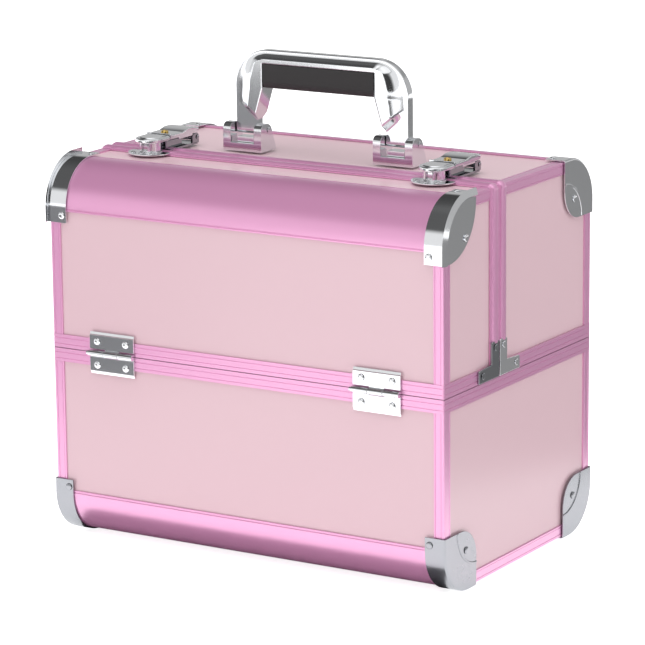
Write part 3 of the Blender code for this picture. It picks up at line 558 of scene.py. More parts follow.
def grain_group():
    """A fine moulded or printed grain with slow patches of colour."""
    group, given, out = new_group(
        "fine_grain",
        (
            ("Place", "NodeSocketVector", None),
            ("Colour", "NodeSocketColor", (0.5, 0.5, 0.5, 1.0)),
            ("Scale", "NodeSocketFloat", 900.0),
            ("Patch", "NodeSocketFloat", 0.04),
            ("Speckle", "NodeSocketFloat", 0.02),
            ("Base Roughness", "NodeSocketFloat", 0.4),
        ),
        (("Colour", "NodeSocketColor"), ("Roughness", "NodeSocketFloat"), ("Height", "NodeSocketFloat")),
    )
    nodes, links = group.nodes, group.links
    grain = nodes.new("ShaderNodeTexNoise")
    grain.inputs["Detail"].default_value = 2.0
    links.new(given.outputs["Place"], grain.inputs["Vector"])
    links.new(given.outputs["Scale"], grain.inputs["Scale"])
    patches = nodes.new("ShaderNodeTexNoise")
    patches.inputs["Scale"].default_value = 9.0
    patches.inputs["Detail"].default_value = 3.0
    links.new(given.outputs["Place"], patches.inputs["Vector"])
    fine = math_node(nodes, "SUBTRACT", None, 0.5)
    links.new(grain.outputs["Fac"], fine.inputs[0])
    fine_by = math_node(nodes, "MULTIPLY")
    links.new(fine.outputs[0], fine_by.inputs[0])
    links.new(given.outputs["Speckle"], fine_by.inputs[1])
    slow = math_node(nodes, "SUBTRACT", None, 0.5)
    links.new(patches.outputs["Fac"], slow.inputs[0])
    slow_by = math_node(nodes, "MULTIPLY")
    links.new(slow.outputs[0], slow_by.inputs[0])
    links.new(given.outputs["Patch"], slow_by.inputs[1])
    change = math_node(nodes, "ADD")
    links.new(fine_by.outputs[0], change.inputs[0])
    links.new(slow_by.outputs[0], change.inputs[1])
    gain = math_node(nodes, "ADD", None, 1.0)
    links.new(change.outputs[0], gain.inputs[0])
    tint = nodes.new("ShaderNodeVectorMath")
    tint.operation = "SCALE"
    links.new(given.outputs["Colour"], tint.inputs[0])
    links.new(gain.outputs[0], tint.inputs["Scale"])
    links.new(tint.outputs[0], out.inputs["Colour"])
    rough = math_node(nodes, "ADD")
    links.new(given.outputs["Base Roughness"], rough.inputs[0])
    links.new(change.outputs[0], rough.inputs[1])
    links.new(rough.outputs[0], out.inputs["Roughness"])
    links.new(grain.outputs["Fac"], out.inputs["Height"])
    return group


def new_finish(name):
    """A material with its shader and the piece's own coordinates."""
    material = bpy.data.materials.new(name)
    material.use_nodes = True
    nodes = material.node_tree.nodes
    shader = nodes["Principled BSDF"]
    place = nodes.new("ShaderNodeTexCoord").outputs["Object"]
    return material, shader, place


def add_group(material, group, values, links_in):
    node = material.node_tree.nodes.new("ShaderNodeGroup")
    node.node_tree = group
    for socket, value in values.items():
        node.inputs[socket].default_value = value
    for socket, source in links_in.items():
        material.node_tree.links.new(source, node.inputs[socket])
    return node


def add_bump(material, shader, height, distance, strength):
    bump = material.node_tree.nodes.new("ShaderNodeBump")
    bump.inputs["Distance"].default_value = distance
    bump.inputs["Strength"].default_value = strength
    material.node_tree.links.new(height, bump.inputs["Height"])
    material.node_tree.links.new(bump.outputs["Normal"], shader.inputs["Normal"])


def metal(name, group, tint, roughness, stretch, depth, distance, strength, metallic=1.0, coat=0.0):
    """Plated, drawn or brushed metal with lines along one direction."""
    material, shader, place = new_finish(name)
    shader.inputs["Base Color"].default_value = (*tint, 1.0)
    shader.inputs["Metallic"].default_value = metallic
    shader.inputs["Coat Weight"].default_value = coat
    shader.inputs["Coat Roughness"].default_value = 0.32
    shader.inputs["Coat IOR"].default_value = 1.9
    values = {"Stretch": stretch, "Depth": depth, "Base Roughness": roughness}
    lines = add_group(material, group, values, {"Place": place})
    material.node_tree.links.new(lines.outputs["Roughness"], shader.inputs["Roughness"])
    add_bump(material, shader, lines.outputs["Height"], distance, strength)
    return material


def moulded(name, group, tint, roughness, scale, patch, speckle, distance, strength, coat=0.0):
    """Laminate, plastic or cloth with a fine grain."""
    material, shader, place = new_finish(name)
    values = {
        "Colour": (*tint, 1.0),
        "Scale": scale,
        "Patch": patch,
        "Speckle": speckle,
        "Base Roughness": roughness,
    }
    grain = add_group(material, group, values, {"Place": place})
    material.node_tree.links.new(grain.outputs["Colour"], shader.inputs["Base Color"])
    material.node_tree.links.new(grain.outputs["Roughness"], shader.inputs["Roughness"])
    shader.inputs["Coat Weight"].default_value = coat
    shader.inputs["Coat Roughness"].default_value = 0.30
    shader.inputs["Coat IOR"].default_value = 1.8
    add_bump(material, shader, grain.outputs["Height"], distance, strength)
    return material


def finish(name):
    return bpy.data.materials[name]


class TRAINCASE_OT_finishes(bpy.types.Operator):
    """Make the materials of the case"""

    bl_idname = "train_case.finishes"
    bl_label = "Finishes"

    def execute(self, context):
        look = context.scene.train_case_finishes
        drawn = drawn_metal_group()
        grain = grain_group()
        band = look.band_roughness
        along = {"x": (3.0, 700.0, 700.0), "y": (700.0, 3.0, 700.0), "z": (700.0, 700.0, 3.0)}
        for axis, stretch in along.items():
            metal(f"anodised_{axis}", drawn, look.anodised, band, stretch, 0.10, 0.00005, 0.12, 0.50, 1.0)
        even = (240.0, 240.0, 240.0)
        metal("chrome", drawn, look.chrome, look.chrome_roughness, even, 0.04, 0.00002, 0.02)
        # The darker copy of the chrome; on the front joiners its tint is painted shade.
        metal("smoked_chrome", drawn, look.smoked, look.chrome_roughness, even, 0.04, 0.00002, 0.02)
        # Darker, rougher copy of the chrome for the lower caps: its darker tint is painted shade.
        metal("satin_steel", drawn, look.satin, 0.26, even, 0.05, 0.00002, 0.03)
        metal("steel", drawn, look.steel, 0.28, along["z"], 0.14, 0.00004, 0.15)
        metal("brass", drawn, look.brass, 0.18, even, 0.06, 0.00002, 0.05)
        moulded("laminate", grain, look.panel, look.panel_roughness, 1400.0, 0.020, 0.030, 0.00003, 0.10, 0.4)
        moulded("grip", grain, look.grip, 0.46, 2200.0, 0.10, 0.10, 0.00006, 0.25)
        moulded("tray", grain, look.tray, 0.50, 1800.0, 0.10, 0.06, 0.00006, 0.30)
        for name, node in NODES.items():
            if "panel" in name:
                node.data.materials.clear()
                node.data.materials.append(finish("laminate"))
            elif name.endswith("_tray"):
                node.data.materials.clear()
                node.data.materials.append(finish("tray"))
            elif "_arm_" in name:
                node.data.materials.clear()
                node.data.materials.append(finish("steel"))
        return {"FINISHED"}


# ---------------------------------------------------------------- bands, rims, beads and rolls
def grooved(width, rib):
    """A band's outer line as (distance from its free edge, depth): a lip, two grooves and a flat."""
    return [
        (0.0, rib * 0.6),
        (0.0003, 0.0),
        (0.0012, 0.0),
        (0.0014, rib),
        (0.0018, rib),
        (0.0020, rib * 0.3),
        (width - 0.0030, rib * 0.3),
        (width - 0.0028, rib),
        (width - 0.0024, rib),
        (width - 0.0022, 0.0),
        (width - 0.0005, 0.0),
    ]


def edge_band(name, along, start, path):
    """The edge angle on the right end of a shell: one leg on the wide face and one on the end."""
    sizes = bpy.context.scene.train_case_shapes
    line = [(sizes.wide_leg - t, depth) for t, depth in grooved(sizes.wide_leg, sizes.rib)]
    line += [(depth, sizes.side_leg - t) for t, depth in reversed(grooved(sizes.side_leg, sizes.rib))]
    line += [(sizes.sheet, sizes.side_leg), (sizes.sheet, sizes.sheet), (sizes.wide_leg, sizes.sheet)]
    inset = sizes.band_inset
    section = [(HALF_WIDTH - inset - a, along * (HALF_DEPTH - inset - b), start) for a, b in line]
    return sweep(name, section, path)


class TRAINCASE_OT_edge_bands(bpy.types.Operator):
    """Model the grooved aluminium angles round both ends of the three shells"""

    bl_idname = "train_case.edge_bands"
    bl_label = "Edge Bands"

    def execute(self, context):
        sizes = context.scene.train_case_shapes
        r = sizes.corner_round
        top = CASE_TOP - r
        low = CASE_FLOOR + r
        wall = HALF_DEPTH - r
        steps = 14
        base = edge_band(
            "base_edge_right",
            -1,
            RIM_LOW - BAND_END_GAP,
            (
                ("run", (0, 0, low - (RIM_LOW - BAND_END_GAP))),
                ("turn", (0, -wall, low), X, 90.0, steps),
                ("run", (0, 2 * wall, 0)),
                ("turn", (0, wall, low), X, 90.0, steps),
                ("run", (0, 0, RIM_LOW - BAND_END_GAP - low)),
            ),
        )
        front = edge_band(
            "front_lid_edge_right",
            -1,
            RIM_HIGH + BAND_END_GAP,
            (
                ("run", (0, 0, top - (RIM_HIGH + BAND_END_GAP))),
                ("turn", (0, -wall, top), X, -90.0, steps),
                ("run", (0, SPLIT_FRONT - BAND_SPLIT_GAP + wall, 0)),
            ),
        )
        rear = edge_band(
            "rear_lid_edge_right",
            1,
            RIM_HIGH + BAND_END_GAP,
            (
                ("run", (0, 0, top - (RIM_HIGH + BAND_END_GAP))),
                ("turn", (0, wall, top), X, 90.0, steps),
                ("run", (0, SPLIT_REAR + BAND_SPLIT_GAP - wall, 0)),
            ),
        )
        for piece, body in ((base, "base"), (front, "front_lid"), (rear, "rear_lid")):
            other = mirrored(piece, piece.name.replace("right", "left"), X)
            for one in (piece, other):
                finish_piece(one, body, finish("anodised_z"), (f"{body}_frame",), 30.0)
        return {"FINISHED"}


def rim_grooves(width):
    """Where the rim's grooves lie, as distances from the seam."""
    return ((0.0031, 0.0035), (width - 0.0029, width - 0.0025))


class TRAINCASE_OT_rims(bpy.types.Operator):
    """Model the grooved rims on both sides of the seam"""

    bl_idname = "train_case.rims"
    bl_label = "Rims"

    def rim(self, sizes, name, seam, up, cut=None):
        far = seam + up * sizes.rim_width
        low, high = min(seam, far), max(seam, far)
        rim = block(name, (-HALF_WIDTH, -HALF_DEPTH, low), (HALF_WIDTH, HALF_DEPTH, high))
        with editing(rim):
            round_edges(rim, lambda edge: runs_along(edge, Z), 0.0014, 3)
            pick(rim, "faces", lambda face: abs(face.calc_center_median().z - far) < 1e-6)
            bpy.ops.mesh.delete(type="FACE")
            for near, away in rim_grooves(sizes.rim_width):
                places = [seam + up * d for d in (near - 0.0002, near, away, away + 0.0002)]
                slice_at(Z, places)
                span = sorted((seam + up * near, seam + up * away))
                pick(rim, "verts", lambda vert, span=span: span[0] - 1e-6 < vert.co.z < span[1] + 1e-6)
                bpy.ops.transform.shrink_fatten(value=-sizes.rib)
            pick(rim, "faces", lambda face: abs(face.calc_center_median().z - seam) < 1e-6)
            bpy.ops.mesh.inset(thickness=sizes.rim_web)
            bpy.ops.mesh.delete(type="FACE")
            if cut is not None:
                place, keep = cut
                normal = (0.0, float(-keep), 0.0)
                bpy.ops.mesh.select_mode(type="VERT")
                bpy.ops.mesh.select_all(action="SELECT")
                bpy.ops.mesh.bisect(plane_co=(0.0, place, 0.0), plane_no=normal, clear_outer=True)
            bpy.ops.mesh.select_all(action="SELECT")
        apply_modifier(rim, "SOLIDIFY", thickness=sizes.sheet, offset=-1.0)
        soften(rim, 0.00015, 1, 50.0)
        return rim

    def execute(self, context):
        sizes = context.scene.train_case_shapes
        rims = (
            ("base_rim", RIM_LOW, -1, None, "base"),
            ("front_lid_rim", RIM_HIGH, 1, (SPLIT_FRONT, -1), "front_lid"),
            ("rear_lid_rim", RIM_HIGH, 1, (SPLIT_REAR, 1), "rear_lid"),
        )
        for name, seam, up, cut, body in rims:
            rim = self.rim(sizes, name, seam, up, cut)
            finish_piece(rim, body, finish("anodised_x"), degrees=30.0)
        return {"FINISHED"}


class TRAINCASE_OT_split_beads(bpy.types.Operator):
    """Model the bands with half-round beads that run over the top on both sides of the split"""

    bl_idname = "train_case.split_beads"
    bl_label = "Split Beads"

    def band(self, sizes, name, edge, inward, bead_start, low):
        """inward is the direction from the split into the lid."""
        width = sizes.split_width
        bead_end = bead_start + sizes.bead_width
        proud = 0.0002
        line = [(0.0, 0.0), (0.0003, proud), (bead_start - 0.0003, proud)]
        centre = (bead_start + bead_end) / 2
        for step in range(13):
            turn_by = math.pi * step / 12
            line.append(
                (
                    centre - math.cos(turn_by) * sizes.bead_width / 2,
                    proud + math.sin(turn_by) * sizes.bead_height,
                )
            )
        line += [(bead_end + 0.0003, 0.0), (width - 0.0006, 0.0), (width, -0.0003)]
        line += [(width, -sizes.sheet), (0.0, -sizes.sheet)]
        section = [(HALF_WIDTH + d, edge + inward * t, low) for t, d in line]
        r = sizes.bead_turn
        across = HALF_WIDTH - r
        path = (
            ("run", (0, 0, CASE_TOP - r - low)),
            ("turn", (across, 0, CASE_TOP - r), Y, -90.0, 8),
            ("run", (-2 * across, 0, 0)),
            ("turn", (-across, 0, CASE_TOP - r), Y, -90.0, 8),
            ("run", (0, 0, low - (CASE_TOP - r))),
        )
        return sweep(name, section, path)

    def execute(self, context):
        sizes = context.scene.train_case_shapes
        low = RIM_HIGH + sizes.rim_width - 0.0004
        bead_low = RIM_HIGH + 0.0282
        bands = []
        ends_and_starts = (("front", SPLIT_FRONT, -1, 0.0014), ("rear", SPLIT_REAR, 1, 0.0031))
        for word, edge, inward, start in ends_and_starts:
            pieces = [self.band(sizes, f"{word}_lid_split_bead", edge, inward, start, bead_low)]
            ends = sorted((edge, edge + inward * sizes.split_width))
            for _, side in SIDES:
                across = sorted((side * HALF_WIDTH, side * (HALF_WIDTH - sizes.sheet)))
                top = bead_low + 0.0004
                foot = block("band_foot", (across[0], ends[0], low), (across[1], ends[1], top))
                pieces.append(foot)
            bands.append(merge(pieces, f"{word}_lid_split_bead"))
        front, rear = bands
        finish_piece(front, "front_lid", finish("anodised_z"), degrees=30.0)
        finish_piece(rear, "rear_lid", finish("anodised_z"), degrees=30.0)
        return {"FINISHED"}


class TRAINCASE_OT_rolls(bpy.types.Operator):
    """Model the four quarter-round edges with a fine lip against each board"""

    bl_idname = "train_case.rolls"
    bl_label = "Rolls"

    def execute(self, context):
        sizes = context.scene.train_case_shapes
        r = sizes.corner_round
        sheet = sizes.sheet
        half = HALF_WIDTH - sizes.wide_leg + 0.0006
        rolls = (
            ("base_roll_front", -1, -1, "base"),
            ("base_roll_rear", 1, -1, "base"),
            ("front_lid_roll", -1, 1, "front_lid"),
            ("rear_lid_roll", 1, 1, "rear_lid"),
        )
        lip = (
            (r + 0.0024, 0.0004),
            (r + 0.0022, 0.0001),
            (r + 0.0012, 0.0),
            (r + 0.0009, 0.0005),
            (r + 0.0005, 0.0005),
        )
        line = [(depth, t) for t, depth in lip]
        line += arc((r, r), r - 0.0001, 180.0, 270.0, 32)
        line += [(t, depth) for t, depth in reversed(lip)]
        line += [(r + 0.0024, sheet)]
        line += arc((r, r), r - sheet, 270.0, 180.0, 16)
        line += [(sheet, r + 0.0024)]
        for name, along, up, body in rolls:
            edge = CASE_TOP if up > 0 else CASE_FLOOR
            section = [(-half, along * (HALF_DEPTH - u), edge - up * v) for u, v in line]
            piece = sweep(name + "_skin", section, (("run", (2 * half, 0, 0)),))
            finish_piece(piece, body, finish("anodised_x"), (name,), 30.0)
        return {"FINISHED"}


# ---------------------------------------------------------------- corner caps and small steel
class TRAINCASE_OT_corner_caps(bpy.types.Operator):
    """Press the eight corner caps and set their rivets"""

    bl_idname = "train_case.corner_caps"
    bl_label = "Corner Caps"

    def shell(self, sizes, name, inner_round, up, rim):
        """A right front cap. up is 1 for the lid's and -1 for the base's."""
        face = HALF_WIDTH + CAP_STAND_OFF + sizes.cap_sheet
        front = -HALF_DEPTH - CAP_STAND_OFF - sizes.cap_sheet
        reach_y = -HALF_DEPTH + CAP_REACH
        edge = (CASE_TOP if up > 0 else CASE_FLOOR) + up * (CAP_STAND_OFF + sizes.cap_sheet)
        reach_z = (CASE_TOP if up > 0 else CASE_FLOOR) - up * CAP_REACH
        strip = HALF_WIDTH - 0.0165
        cap = block(name, (strip, front, min(edge, reach_z)), (face, reach_y, max(edge, reach_z)))
        outer = sizes.corner_round + CAP_STAND_OFF + sizes.cap_sheet

        def at_corner(edge_part, y, z):
            centre = middle(edge_part)
            return runs_along(edge_part, X) and abs(centre.y - y) < 1e-5 and abs(centre.z - z) < 1e-5

        with editing(cap):
            round_edges(cap, lambda part: at_corner(part, front, edge), outer, 24)
            round_edges(cap, lambda part: at_corner(part, reach_y, reach_z), inner_round, 16)

            def inside(part):
                sideways = max(part.normal.y, -up * part.normal.z)
                return part.normal.x < -0.9 or (abs(part.normal.x) < 0.5 and sideways > 0.01)

            pick(cap, "faces", inside)
            bpy.ops.mesh.delete(type="FACE")
            round_edges(
                cap,
                lambda part: not part.is_boundary
                and abs(middle(part).x - face) < 1e-6
                and len(part.link_faces) == 2
                and min(abs(f.normal.x) for f in part.link_faces) < 0.1
                and max(abs(f.normal.x) for f in part.link_faces) > 0.9,
                sizes.cap_edge,
                5,
            )
            if rim:
                pick(cap, "faces", lambda part: part.normal.x > 0.98)
                bpy.ops.mesh.inset(thickness=0.0016, use_boundary=False)
                bpy.ops.mesh.inset(thickness=0.0005, depth=-0.0003, use_boundary=False)
        apply_modifier(cap, "SOLIDIFY", thickness=sizes.cap_sheet, offset=-1.0)
        soften(cap, 0.0002, 2, 50.0)
        return cap

    def ridge(self, sizes, up):
        """The wire-like ridge on a small cap's cheek, a quarter ring about its inner corner."""
        face = HALF_WIDTH + CAP_STAND_OFF + sizes.cap_sheet
        y = -HALF_DEPTH + CAP_REACH
        z = (CASE_TOP if up > 0 else CASE_FLOOR) - up * CAP_REACH
        radius = 0.0295
        r = sizes.ridge
        bpy.ops.object.select_all(action="DESELECT")
        bpy.ops.mesh.primitive_torus_add(
            major_radius=radius,
            minor_radius=r,
            major_segments=96,
            minor_segments=10,
            location=(face - r * 0.30, y, z),
            rotation=(0.0, math.pi / 2, 0.0),
        )
        ring = bpy.context.object
        bpy.ops.object.transform_apply(location=True, rotation=True, scale=True)
        with editing(ring):
            trim(Y, y - 0.0005, -1)
            trim(Z, z + up * 0.0005, up)
        return ring

    def rivets(self, sizes, up):
        face = HALF_WIDTH + CAP_STAND_OFF + sizes.cap_sheet
        front = -HALF_DEPTH - CAP_STAND_OFF - sizes.cap_sheet
        top = CASE_TOP + CAP_STAND_OFF + sizes.cap_sheet
        edge = CASE_TOP if up > 0 else CASE_FLOOR
        inset = HALF_WIDTH - 0.0125
        height = 0.0013
        radius = sizes.rivet_radius
        cheek = (face, -HALF_DEPTH + 0.0315, edge - up * 0.0315)
        heads = [
            dome("cheek_rivet", cheek, (1, 0, 0), radius, height),
            dome("front_rivet", (inset, front, edge - up * 0.0418), (0, -1, 0), radius, height),
        ]
        if up > 0:
            heads.append(
                dome("top_rivet", (inset, -HALF_DEPTH + 0.0418, top), (0, 0, 1), radius, height)
            )
        return heads

    def execute(self, context):
        sizes = context.scene.train_case_shapes
        large = self.shell(sizes, "cap", 0.043, 1, True)
        large = merge([large, *self.rivets(sizes, 1)], "cap_top_front_right")
        small = self.shell(sizes, "cap", 0.024, -1, False)
        small = merge([small, self.ridge(sizes, -1), *self.rivets(sizes, -1)], "cap_bottom_front_right")
        upper = self.shell(sizes, "cap", 0.024, 1, False)
        upper = merge([upper, self.ridge(sizes, 1), *self.rivets(sizes, 1)], "cap_work")
        rear = mirrored(upper, "cap_top_rear_right", Y)
        bpy.data.objects.remove(upper, do_unlink=True)
        small_rear = mirrored(small, "cap_bottom_rear_right", Y)
        for piece, body, look in (
            (large, "front_lid", "chrome"),
            (rear, "rear_lid", "chrome"),
            # The lower caps take the darker copy of the chrome, which is painted shade.
            (small, "base", "satin_steel"),
            (small_rear, "base", "satin_steel"),
        ):
            other = mirrored(piece, piece.name.replace("right", "left"), X)
            for one in (piece, other):
                finish_piece(one, body, finish(look), ("corner_" + one.name,))
        return {"FINISHED"}


class TRAINCASE_OT_joiners(bpy.types.Operator):
    """Fold the L-shaped plates at the foot of the split"""

    bl_idname = "train_case.joiners"
    bl_label = "Joiners"

    def execute(self, context):
        arm = 0.0115
        toe = 0.0320
        high = 0.0290
        low = RIM_HIGH + 0.0006
        edges = (("front", SPLIT_FRONT - 0.0004, -1), ("rear", SPLIT_REAR + 0.0004, 1))
        for word, edge, inward in edges:
            toe_end = edge + inward * toe
            plate = block(
                f"joiner_{word}_right",
                (HALF_WIDTH + 0.0001, min(edge, toe_end), low),
                (HALF_WIDTH + 0.0019, max(edge, toe_end), low + arm),
            )
            arm_end = edge + inward * arm
            span = sorted((edge, arm_end))
            with editing(plate):
                slice_at(Y, (arm_end,))
                pick(
                    plate,
                    "faces",
                    lambda part, span=span: part.normal.z > 0.9
                    and span[0] < part.calc_center_median().y < span[1],
                )
                bpy.ops.mesh.extrude_region_move(TRANSFORM_OT_translate={"value": (0, 0, high - arm)})
                pick(
                    plate,
                    "verts",
                    lambda part, toe_end=toe_end: abs(part.co.y - toe_end) < 1e-6 and part.co.z > low + 0.005,
                )
                bpy.ops.transform.translate(value=(0, 0, -0.0012))
                tidy_mesh()
                bpy.ops.mesh.dissolve_limited(angle_limit=math.radians(1.0))
                round_edges(
                    plate,
                    lambda part: runs_along(part, X)
                    and part.calc_face_angle_signed() > math.radians(60.0)
                    and middle(part).z > low + 0.002,
                    0.0018,
                    4,
                )
            soften(plate, 0.0006, 3, 45.0)
            face = HALF_WIDTH + 0.0019
            heads = [
                dome("rivet", (face, edge + inward * 0.0262, low + 0.0056), (1, 0, 0), 0.0026, 0.0008),
                dome("rivet", (face, edge + inward * 0.0060, low + 0.0241), (1, 0, 0), 0.0026, 0.0008),
            ]
            plate = merge([plate, *heads], f"joiner_{word}_right")
            other = mirrored(plate, f"joiner_{word}_left", X)
            for one in (plate, other):
                # The front joiners take the darker copy of the chrome as painted shade; the rear joiners stay
                # plain chrome.
                front_shaded_plating = "smoked_chrome" if word == "front" else "chrome"
                finish_piece(one, f"{word}_lid", finish(front_shaded_plating))
        return {"FINISHED"}


class TRAINCASE_OT_hinges(bpy.types.Operator):
    """Press and roll the leaves of the four hinges"""

    bl_idname = "train_case.hinges"
    bl_label = "Hinges"

    def leaf(self, name, x, up):
        """A front leaf: a raised middle, a sloped far edge, and barrels on the pin."""
        half = 0.0210
        face = -HALF_DEPTH - 0.0002
        raised = -HALF_DEPTH - 0.0018
        near = SEAM + up * 0.0034
        far = SEAM + up * 0.0172
        step = SEAM + up * 0.0146
        leaf = block(name, (x - half, raised, min(near, far)), (x + half, face, max(near, far)))
        with editing(leaf):
            slice_at(Z, (step, step + up * 0.0004))
            pick(
                leaf,
                "verts",
                lambda part: abs(part.co.y - raised) < 1e-6 and up * (part.co.z - step) > 0.0002,
            )
            bpy.ops.transform.translate(value=(0, 0.0007, 0))
            pick(leaf, "verts", lambda part: part.co.y < face - 1e-6 and abs(part.co.z - far) < 1e-6)
            bpy.ops.transform.translate(value=(0, 0.0006, 0))
        soften(leaf, 0.0003, 2, 30.0)
        pieces = [leaf]
        axis_y = -HALF_DEPTH - 0.0029
        third = 0.0070
        spans = ((-third + 0.0003, third - 0.0003),) if up > 0 else ((-half, -third), (third, half))
        for start, end in spans:
            centre = (x + (start + end) / 2, axis_y, SEAM)
            barrel = rod(centre, 0.00255, end - start, 28, along_x=True)
            soften(barrel, 0.0003, 2, 60.0)
            tongue = block(
                "tongue",
                (x + start, raised + 0.0001, min(SEAM + up * 0.0004, near + up * 0.0006)),
                (x + end, face, max(SEAM + up * 0.0004, near + up * 0.0006)),
            )
            soften(tongue, 0.0002, 1, 60.0)
            pieces += [barrel, tongue]
        if up < 0:
            pin = turned(
                "pin",
                (
                    (x - half - 0.0024, axis_y, SEAM),
                    (x - half - 0.0024, axis_y, SEAM + 0.0013),
                    (x - half - 0.0020, axis_y, SEAM + 0.0017),
                    (x - half + 0.0010, axis_y, SEAM + 0.0017),
                ),
                (0.0, axis_y, SEAM),
                X,
            )
            pieces.append(pin)
        for shift in (-0.0136, 0.0136):
            foot = (x + shift, raised, SEAM + up * 0.0096)
            pieces.append(dome("rivet", foot, (0, -1, 0), 0.0030, 0.0016))
        return merge(pieces, name)

    def execute(self, context):
        low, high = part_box("hinge_upper_leaf_front_right")
        hinge_x = (low.x + high.x) / 2
        halves = ((-1, "lower", ("base", "base")), (1, "upper", ("front_lid", "rear_lid")))
        for word, side in SIDES:
            for up, which, bodies in halves:
                front = self.leaf(f"leaf_{which}_front_{word}", side * hinge_x, up)
                rear = mirrored(front, f"leaf_{which}_rear_{word}", Y)
                for piece, end, body in ((front, "front", bodies[0]), (rear, "rear", bodies[1])):
                    node = f"hinge_{which}_leaf_{end}_{word}"
                    finish_piece(piece, body, finish("chrome"), (node,))
        return {"FINISHED"}


# ---------------------------------------------------------------- handle
class TRAINCASE_OT_handle(bpy.types.Operator):
    """Cast the bow, mould the grip and cast the two brackets"""

    bl_idname = "train_case.handle"
    bl_label = "Handle"

    def depth(self, x, z, out, wide):
        """Half the bow's depth at a point: a thin rim, a cove and a thick flange by the grip."""
        rim, full, ridge = 0.0037, 0.0089, 0.0016
        flat = 0.0036 if wide < 0.012 else 0.0036 + (wide - 0.012) * 0.52
        if out < 0.0008:
            return rim - 0.0008 + math.sqrt(max(0.0, 0.0008**2 - (0.0008 - out) ** 2))
        swell = min(1.0, max(0.0, (out - ridge) / (wide - flat - ridge))) ** 2.4
        facet = min(1.0, max(0.0, (z - self.foot - 0.0105 - (abs(x) - 0.0570) * 0.80) / 0.0055))
        if out > wide - 0.0006:
            full -= 0.0006 - math.sqrt(max(0.0, 0.0006**2 - (out - wide + 0.0006) ** 2))
        return rim + (full - rim) * swell * facet

    def bow(self):
        low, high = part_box("handle_bow")
        y = (low.y + high.y) / 2
        self.foot = foot = low.z
        half = bpy.context.scene.train_case_shapes.bow_half
        corner, round_foot = 0.030, 0.0037
        bar = high.z - 0.0103
        shoulder = bar - 0.0200
        leg_in, foot_in = half - 0.0285, half - 0.0206
        centre = (half - corner, high.z - corner)
        stations = []
        for step in range(1, 6):
            turn_by = math.radians(18.0 * step)
            z = foot + round_foot * (1.0 - math.cos(turn_by))
            stations.append(((half, z), (foot_in, z), math.sin(turn_by)))
        levels = [foot + round_foot + (centre[1] - foot - round_foot) * k / 40 for k in range(1, 41)]
        for z in levels:
            share_up = max(0.0, (z - foot - 0.0128) / (shoulder - foot - 0.0128))
            inner = foot_in + (leg_in - foot_in) * min(1.0, share_up)
            stations.append(((half, z), (inner, z), 1.0))
        for step in range(1, 33):
            turn_by = math.radians(90.0 * step / 32)
            out = (centre[0] + corner * math.cos(turn_by), centre[1] + corner * math.sin(turn_by))
            rise = min(1.0, step / 16)
            inner_x = leg_in - (leg_in - centre[0]) * max(0.0, step / 16 - 1.0)
            inner = (inner_x, shoulder + (bar - shoulder) * rise)
            stations.append((out, inner, 1.0))
        for step in range(1, 9):
            x = centre[0] * (1.0 - step / 8)
            stations.append(((x, high.z), (x, bar), 1.0))
        stations += [((-a[0], a[1]), (-b[0], b[1]), c) for a, b, c in reversed(stations[:-1])]
        spots = [0.0, 0.0002, 0.0005, 0.0008, 0.0014]
        rings = []
        for (out_x, out_z), (in_x, in_z), narrow in stations:
            wide = math.hypot(out_x - in_x, out_z - in_z)
            places = spots + [0.0014 + (wide - 0.0020) * k / 30 for k in range(1, 31)]
            places += [wide - 0.0003, wide - 0.0001, wide]
            front, rear = [], []
            for place in places:
                part = place / wide
                x, z = out_x + (in_x - out_x) * part, out_z + (in_z - out_z) * part
                thick = self.depth(x, z, place, wide) * narrow
                front.append((x, y - thick, z))
                rear.append((x, y + thick, z))
            rings.append(front + rear[::-1])
        return loft("handle_bow_cast", rings)

    def grip(self):
        low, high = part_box("handle_grip")
        edge = bpy.context.scene.train_case_shapes.grip_edge
        grip = block("grip_mould", low, high)
        with editing(grip):
            round_edges(grip, lambda part: runs_along(part, X) and middle(part).z < low.z + 1e-5, edge, 8)
        soften(grip, 0.0004, 2, 50.0)
        return grip

    def bracket(self, word):
        low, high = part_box(f"handle_bracket_{word}")
        x = (low.x + high.x) / 2
        y = (low.y + high.y) / 2
        half = (high.x - low.x) / 2
        body = block(f"bracket_{word}", (low.x, low.y, CASE_TOP), high)
        with editing(body):
            pick(body, "verts", lambda part: part.co.z > high.z - 1e-5 and part.co.y > y)
            bpy.ops.transform.translate(value=(0, -0.0085, 0))
            round_edges(body, lambda part: runs_along(part, X) and middle(part).z > high.z - 1e-5, 0.0052, 8)
        room = half - 0.0071
        lip = low.y + 0.0034
        cuts = (
            ((x - room, lip, CASE_TOP + 0.0030), (x + room, high.y + 0.01, high.z + 0.01)),
            ((x - room, low.y - 0.01, CASE_TOP + 0.0066), (x + room, high.y + 0.01, high.z + 0.01)),
        )
        for start, end in cuts:
            combine(body, block("room", start, end), "DIFFERENCE")
        with editing(body):
            tidy_mesh()
        soften(body, 0.0004, 2, 40.0)
        pin_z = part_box("handle_bow")[0].z + 0.0038
        seat_high = (x + 0.0078, y + 0.0040, CASE_TOP + 0.0112)
        seat = block("seat", (x - 0.0078, low.y + 0.0050, CASE_TOP), seat_high)
        soften(seat, 0.0004, 2, 50.0)
        pieces = [body, seat]
        for way in (-1, 1):
            pieces.append(dome("pin_end", (x + way * half, y, pin_z), (way, 0, 0), 0.0021, 0.0005))
        return merge(pieces, f"bracket_{word}")

    def execute(self, context):
        finish_piece(self.bow(), "handle", finish("chrome"), ("handle_bow",), 40.0)
        finish_piece(self.grip(), "handle", finish("grip"), ("handle_grip",), 40.0)
        for word, _ in SIDES:
            bracket = self.bracket(word)
            node = f"handle_bracket_{word}"
            finish_piece(bracket, "rear_lid", finish("chrome"), (node,), 40.0)
        return {"FINISHED"}


